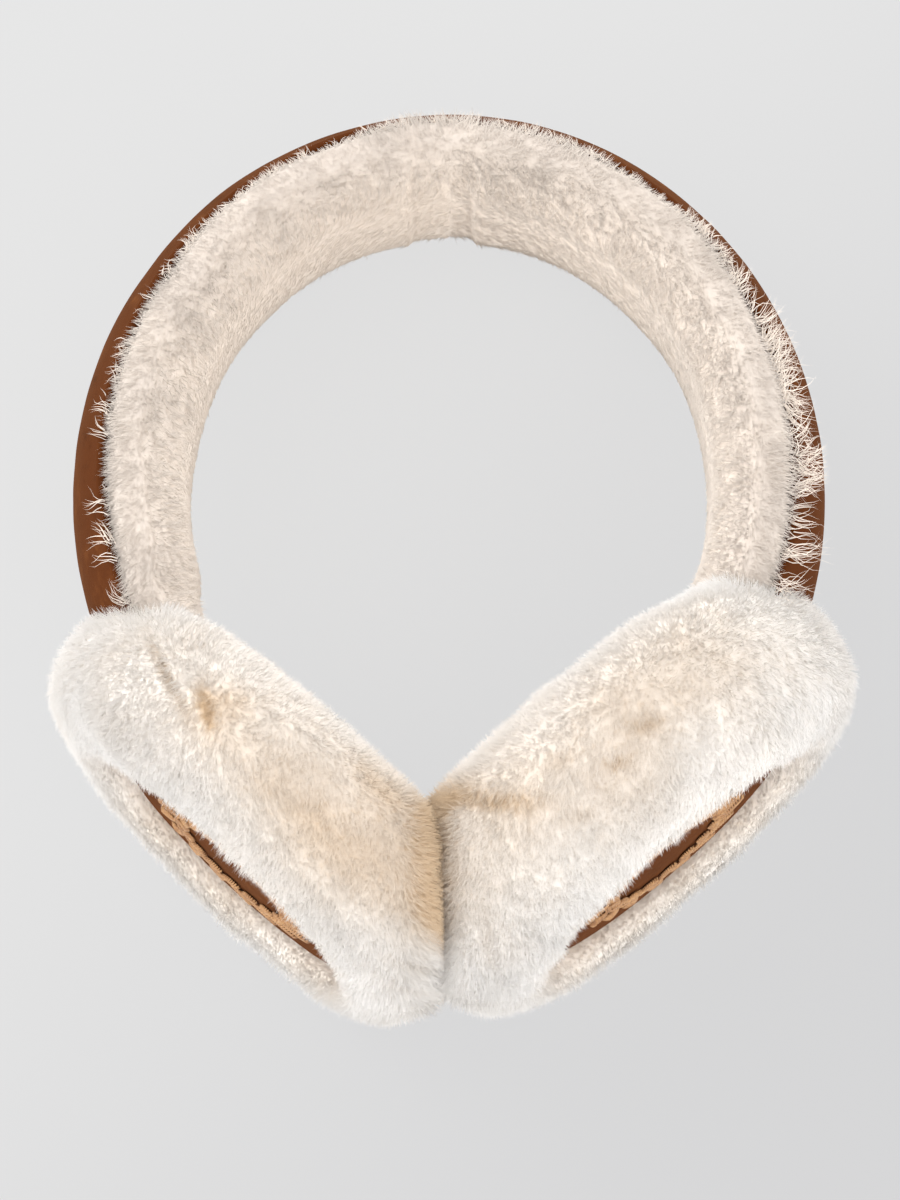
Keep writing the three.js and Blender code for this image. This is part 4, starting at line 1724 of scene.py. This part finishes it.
@dataclass
class Wreath:
    """A ring of satin-stitched leaves on a cup's panel. Lengths are millimetres.

    Fields:
        cup: The cup whose panel it is on.
        radius: How far from the panel's middle its stem runs.
        width: About how wide the ring of leaves is.
        height: About how high the leaves stand.
        leaves: How many leaves there are on each side of the stem.
        stitches: How many pairs of stitches a leaf has.
        thread: How thick the thread is.
        sides: How many sides a stitch's tube has.
        bends: How many points a stitch's path has.
        inner_share: How long the leaves inside the stem are, as a share of the width.
        outer_share: How long the leaves outside it are.
        slant: How far a leaf's rib points out and round, as shares of its length.
        fullness: How wide half a leaf is, as a share of its length.
        stem: How far to each side of its middle the stem's two threads run.
    """

    cup: Cup
    radius: float = 15.5
    width: float = 8.5
    height: float = 1.0
    leaves: int = 17
    stitches: int = 10
    thread: float = 0.52
    sides: int = 5
    bends: int = 5
    inner_share: float = 0.62
    outer_share: float = 0.8
    slant: tuple[float, float] = (0.62, 0.78)
    fullness: float = 0.30
    stem: float = 0.25

    def leaf(self, angle: float, outer: bool) -> list[Array]:
        """Lays the stitches of one leaf, in pairs from its rib to its two edges.

        Args:
            angle: Where on the stem it grows, in radians round.
            outer: Whether it grows outwards.

        Returns:
            The path of each stitch, in the cup's axes.
        """
        reach = self.width * (self.outer_share if outer else self.inner_share)
        radial = np.array([math.cos(angle), math.sin(angle)])
        tangent = np.array([-radial[1], radial[0]])
        rib = unit(self.slant[0] * (1.0 if outer else -1.0) * radial + self.slant[1] * tangent)
        cross = np.array([-rib[1], rib[0]])
        t = np.linspace(0.0, 1.0, self.bends)[:, None]
        rise = 0.35 + 0.5 * self.height * np.sin(math.pi * (0.18 + 0.8 * t[:, 0]))
        paths = []
        for share in (np.arange(self.stitches) + 0.5) / self.stitches:
            wide = self.fullness * reach * math.sin(math.pi * min(share * 0.94 + 0.06, 1.0)) ** 0.8
            start = self.radius * radial + rib * reach * (share * 0.9)
            for way in (-1.0, 1.0):
                end = start + cross * way * wide + rib * reach * 0.16
                flat = start + (end - start) * t
                height = self.cup.panel_top(np.linalg.norm(flat, axis=1)) + rise
                paths.append(np.column_stack([flat, height]))
        return paths

    def stitch_paths(self) -> Array:
        """Lays the stitches of every leaf and of the stem.

        Returns:
            The path of each stitch, in the cup's axes.
        """
        paths = []
        for number in range(2 * self.leaves):
            place, outer = divmod(number, 2)
            paths += self.leaf(2.0 * math.pi * (place + 0.5 * outer) / self.leaves, bool(outer))
        turn = np.linspace(0.0, 2.0 * math.pi, 181)
        arched = 0.55 + 0.15 * np.sin(np.linspace(0, math.pi, self.bends))
        for r in (self.radius - self.stem, self.radius + self.stem):
            for start, end in zip(turn[:-1:3], turn[3::3]):
                t = np.linspace(start, end, self.bends)
                height = self.cup.panel_top(r) + arched
                paths.append(np.column_stack([r * np.cos(t), r * np.sin(t), height]))
        return np.array(paths)

    def tubes(self, paths: Array) -> tuple[Array, Array, Array]:
        """Makes each stitch a thin tube that tapers to its ends.

        Args:
            paths: The path of each stitch, in the cup's axes.

        Returns:
            The tubes' points in the earmuffs' axes, one tube's faces, and which way is out at each point.
        """
        along = unit(np.gradient(paths, axis=1))
        side = unit(np.cross(along, FRONT))
        up = np.cross(side, along)
        turn = self.turns()
        taper = np.array([0.7, 1.0, 1.0, 1.0, 0.6])[None, :, None, None] * self.thread / 2.0
        ring = np.cos(turn)[:, None] * side[:, :, None] + np.sin(turn)[:, None] * up[:, :, None]
        points = self.cup.to_own((paths[:, :, None] + taper * ring).reshape(-1, 3))
        return points, grid_faces(self.bends, self.sides, False, True), ring.reshape(-1, 3)

    def turns(self) -> Array:
        """The angles of a tube's sides, in radians."""
        return 2.0 * math.pi * np.arange(self.sides) / self.sides

    def places(self, count: int, faces: Array) -> tuple[Array, Array]:
        """Lays out each stitch in a cell of its own on the colour map.

        Args:
            count: How many stitches there are.
            faces: The faces of one tube.

        Returns:
            The places of the tubes' corners and of their caps' corners.
        """
        cells = math.ceil(math.sqrt(count))
        row, column = np.divmod(np.arange(count), cells)
        i, j = np.divmod(faces, self.sides)
        u = (column[:, None, None] + 0.1 + 0.8 * unwrapped(j, self.sides) / self.sides) / cells
        v = (row[:, None, None] + 0.1 + 0.7 * i / (self.bends - 1)) / cells
        turn = self.turns()
        round_cap = np.stack([np.cos(turn), np.sin(turn)], axis=-1) * (0.04 / cells)
        middles = np.tile(np.stack([column + 0.3, row + 0.9], axis=-1), (2, 1))
        middles[count:, 0] += 0.4
        return np.stack([u, v], axis=-1).reshape(-1, 4, 2), round_cap + (middles / cells)[:, None]

    def build(self, material: bpy.types.Material) -> None:
        """Builds and places the wreath.

        Args:
            material: Its finish.
        """
        paths = self.stitch_paths()
        count = len(paths)
        points, faces, outward = self.tubes(paths)
        first = np.arange(count)[:, None] * self.bends * self.sides
        every = (first[:, None] + faces).reshape(-1, 4)
        ends = [np.arange(self.sides)[::-1], np.arange(self.sides) + (self.bends - 1) * self.sides]
        caps = np.vstack([first + end for end in ends])
        if (unit(face_normals(points, every)) * (outward[every[:, 0]] @ self.cup.axes)).sum() < 0.0:
            every, caps = every[:, ::-1], caps[:, ::-1]
        tube_places, cap_places = self.places(count, faces)
        normals = point_normals(points, every)
        cap_normals = np.repeat(unit(face_normals(points, caps[:, :4]))[:, None], self.sides, axis=1)
        tubes = Patch(points, every, normals[every], tube_places)
        shared = Patch(np.zeros((0, 3)), caps - len(points), cap_normals, cap_places)
        name = self.cup.side.name.lower()
        piece = to_mesh(f"{name}_stitched_wreath", [tubes, shared])
        place_piece(piece, material, f"{name}_cup_embroidery")


# Table, light and camera


@dataclass
class Studio:
    """The pale table, the soft light and the camera above.

    Fields:
        distance: How far the camera is from its target, in metres.
        lean: How far it leans towards the cups, in degrees.
        target: Where it looks, in metres.
        view_height: How much it sees there from top to bottom, in metres.
        table_glow: How bright the table is of itself.
        sky_strength: How bright the sky is.
        box_size: How wide each soft box is, in metres.
    """

    distance: float = 1.150
    lean: float = 5.0
    target: tuple[float, float, float] = (-0.00025, -0.0070, 0.045)
    view_height: float = 0.2388
    table_glow: float = 0.705
    sky_strength: float = 3.6
    box_size: float = 0.9

    def build(self) -> None:
        """Builds them all."""
        self.table()
        self.lights()
        self.camera()

    def table(self) -> None:
        """A wide pale table that dims a little towards its lower right."""
        mesh = bpy.data.meshes.new("table")
        mesh.from_pydata([(-6, -6, 0), (6, -6, 0), (6, 6, 0), (-6, 6, 0)], [], [(0, 1, 2, 3)])
        table = bpy.data.objects.new("table", mesh)
        bpy.context.scene.collection.objects.link(table)
        material, w, shader = new_material("table_paper", {
            "Base Color": (0.05, 0.05, 0.05, 1), "Emission Strength": self.table_glow, "Roughness": 0.9,
            "Specular IOR Level": 0.1,
        })
        place = w.node("ShaderNodeSeparateXYZ")
        w.feed(place.inputs[0], w.place())
        slope = w.math("ADD", place.outputs[0], w.times(place.outputs[1], -0.9))
        share = w.spread(slope, -0.12, 0.22)
        w.feed(shader.inputs["Emission Color"], w.mix(share, (1.0, 1.0, 1.0, 1), (0.84, 0.84, 0.85, 1)))
        table.data.materials.append(material)

    def lights(self) -> None:
        """Two large soft boxes high on the two sides, and a pale sky that is brightest low down."""
        world = bpy.data.worlds.new("studio")
        bpy.context.scene.world = world
        world.use_nodes = True
        sky = world.node_tree.nodes["Background"]
        w = Wiring(world.node_tree)
        aim = w.node("ShaderNodeSeparateXYZ")
        w.feed(aim.inputs[0], w.node("ShaderNodeTexCoord").outputs["Generated"])
        high = w.spread(aim.outputs[2], 0.0, 0.9)
        w.feed(sky.inputs["Color"], w.mix(high, (1.0, 1.0, 1.0, 1.0), (0.24, 0.24, 0.24, 1.0)))
        sky.inputs["Strength"].default_value = self.sky_strength
        for name, place, power in (
            ("left_box", (-0.6, 0.45, 1.3), 7.5),
            ("right_box", (0.75, 0.6, 1.25), 0.6),
        ):
            data = bpy.data.lights.new(name, "AREA")
            data.shape = "DISK"
            data.size = self.box_size
            data.energy = power
            lamp = bpy.data.objects.new(name, data)
            lamp.location = place
            lamp.rotation_euler = (-Vector(place)).to_track_quat("-Z", "Y").to_euler()
            bpy.context.scene.collection.objects.link(lamp)

    def camera(self) -> None:
        """A camera above the table that leans a little towards the cups."""
        lean = math.radians(self.lean)
        back = Vector((0.0, -math.sin(lean), math.cos(lean)))
        data = bpy.data.cameras.new("camera")
        data.sensor_fit = "VERTICAL"
        data.sensor_height = 24.0
        data.sensor_width = 18.0
        data.lens = data.sensor_height * self.distance / self.view_height
        data.clip_start, data.clip_end = 0.05, 20.0
        camera = bpy.data.objects.new("camera", data)
        camera.location = Vector(self.target) + back * self.distance
        camera.rotation_euler = (-back).to_track_quat("-Z", "Y").to_euler()
        bpy.context.scene.collection.objects.link(camera)
        bpy.context.scene.camera = camera


def both_cups() -> tuple[Cup, Cup]:
    """Sets out the two ear cups.

    Returns:
        The left cup and the right cup.
    """
    left = Cup(
        Side.LEFT, entry=-107.0, lean=47.6, along=1.1, across=0.32, loft=0.96, ends=(0.88, 1.06),
        seed=11, glow=0.26,
        # Where a dent is tan, the tan is painted shade in its crease; broad, flat presses give the fleece's
        # own tan.
        presses=(
            Press(0.365, 124, 0.045, 2.4, 1.0, 0.6, 258),
            Press(0.355, 109.5, 0.035, 2.2, 1.1, 0.75, 117),
            Press(0.372, 119.0, 0.04, 3.2, -0.9, 0.0, 258),
            Press(0.352, 112.0, 0.02, 1.6, -1.0),
            Press(0.395, 107, 0.05, 6, 0.3, 0.35),
            Press(0.32, 82, 0.07, 24, 0.2, 0.15),
            Press(0.36, 72, 0.17, 36, 0.0, 0.3),
            Press(0.25, 258, 0.08, 55, -3.6),
            Press(0.5, 70, 0.05, 8, 0.5, 0.35),
            Press(0.245, 18, 0.05, 2.5, 1.0, 0.2, -279),
            Press(0.30, 22, 0.05, 2.5, 1.0, 0.2, -279),
            Press(0.16, 122, 0.05, 14, -1.6),
        ),
    )
    right = Cup(
        Side.RIGHT, entry=103.0, lean=50.0, along=1.13, across=0.4, loft=1.09, ends=(1.0, 1.06),
        seed=29, glow=0.16,
        # Where a dent is tan, the tan is painted shade in its crease; broad, flat presses give the fleece's
        # own tan.
        presses=(
            Press(0.455, 302, 0.09, 2.8, 1.4, 0.45, 110),
            Press(0.545, 310, 0.045, 6, 0.5, 0.5, 110),
            Press(0.331, 274.5, 0.015, 1.6, 0.9, 0.4, 120),
            Press(0.35, 264, 0.02, 3, 0.6, 0.22, 120),
            Press(0.30, 288, 0.02, 3, 0.5, 0.2, 120),
            Press(0.41, 283, 0.02, 3, 0.5, 0.2, 120),
            Press(0.42, 246, 0.14, 22, 0.0, 0.16),
            Press(0.38, 280, 0.16, 40, 0.0, 0.32),
            Press(0.25, 92, 0.08, 55, -4.0),
            Press(0.25, 330, 0.06, 3, 0.8, 0.15, -150),
            Press(0.16, 238, 0.05, 10, -1.2),
        ),
    )
    return left, right


def main() -> None:
    """Builds the earmuffs piece by piece, then the studio."""
    logging.basicConfig(level=logging.INFO, format="%(message)s")
    bpy.context.scene.view_settings.view_transform = "Standard"
    Studio().build()
    groups = Groups()
    fleece = FleeceFinish("cream_fleece").material(groups)
    # The lining's fleece is tan; cream is painted light where its mark is high, on the arch's shaded inside
    # and top.
    cream = (0.985, 0.875, 0.77)
    tan_fleece = FleeceFinish(
        "tan_fleece", tip=(0.56, 0.50, 0.45), root=(0.58, 0.51, 0.45), warm=cream, deep=cream, mottle=-0.1
    ).material(groups)
    suede = SuedeFinish("chestnut_suede").material(groups)
    thread = ThreadFinish("tan_thread").material()
    Strap().build(suede)
    Lining().build(tan_fleece)
    for cup in both_cups():
        cup.build_fleece(fleece)
        cup.build_panel(suede)
        Wreath(cup).build(thread)


if __name__ == "__main__":
    main()
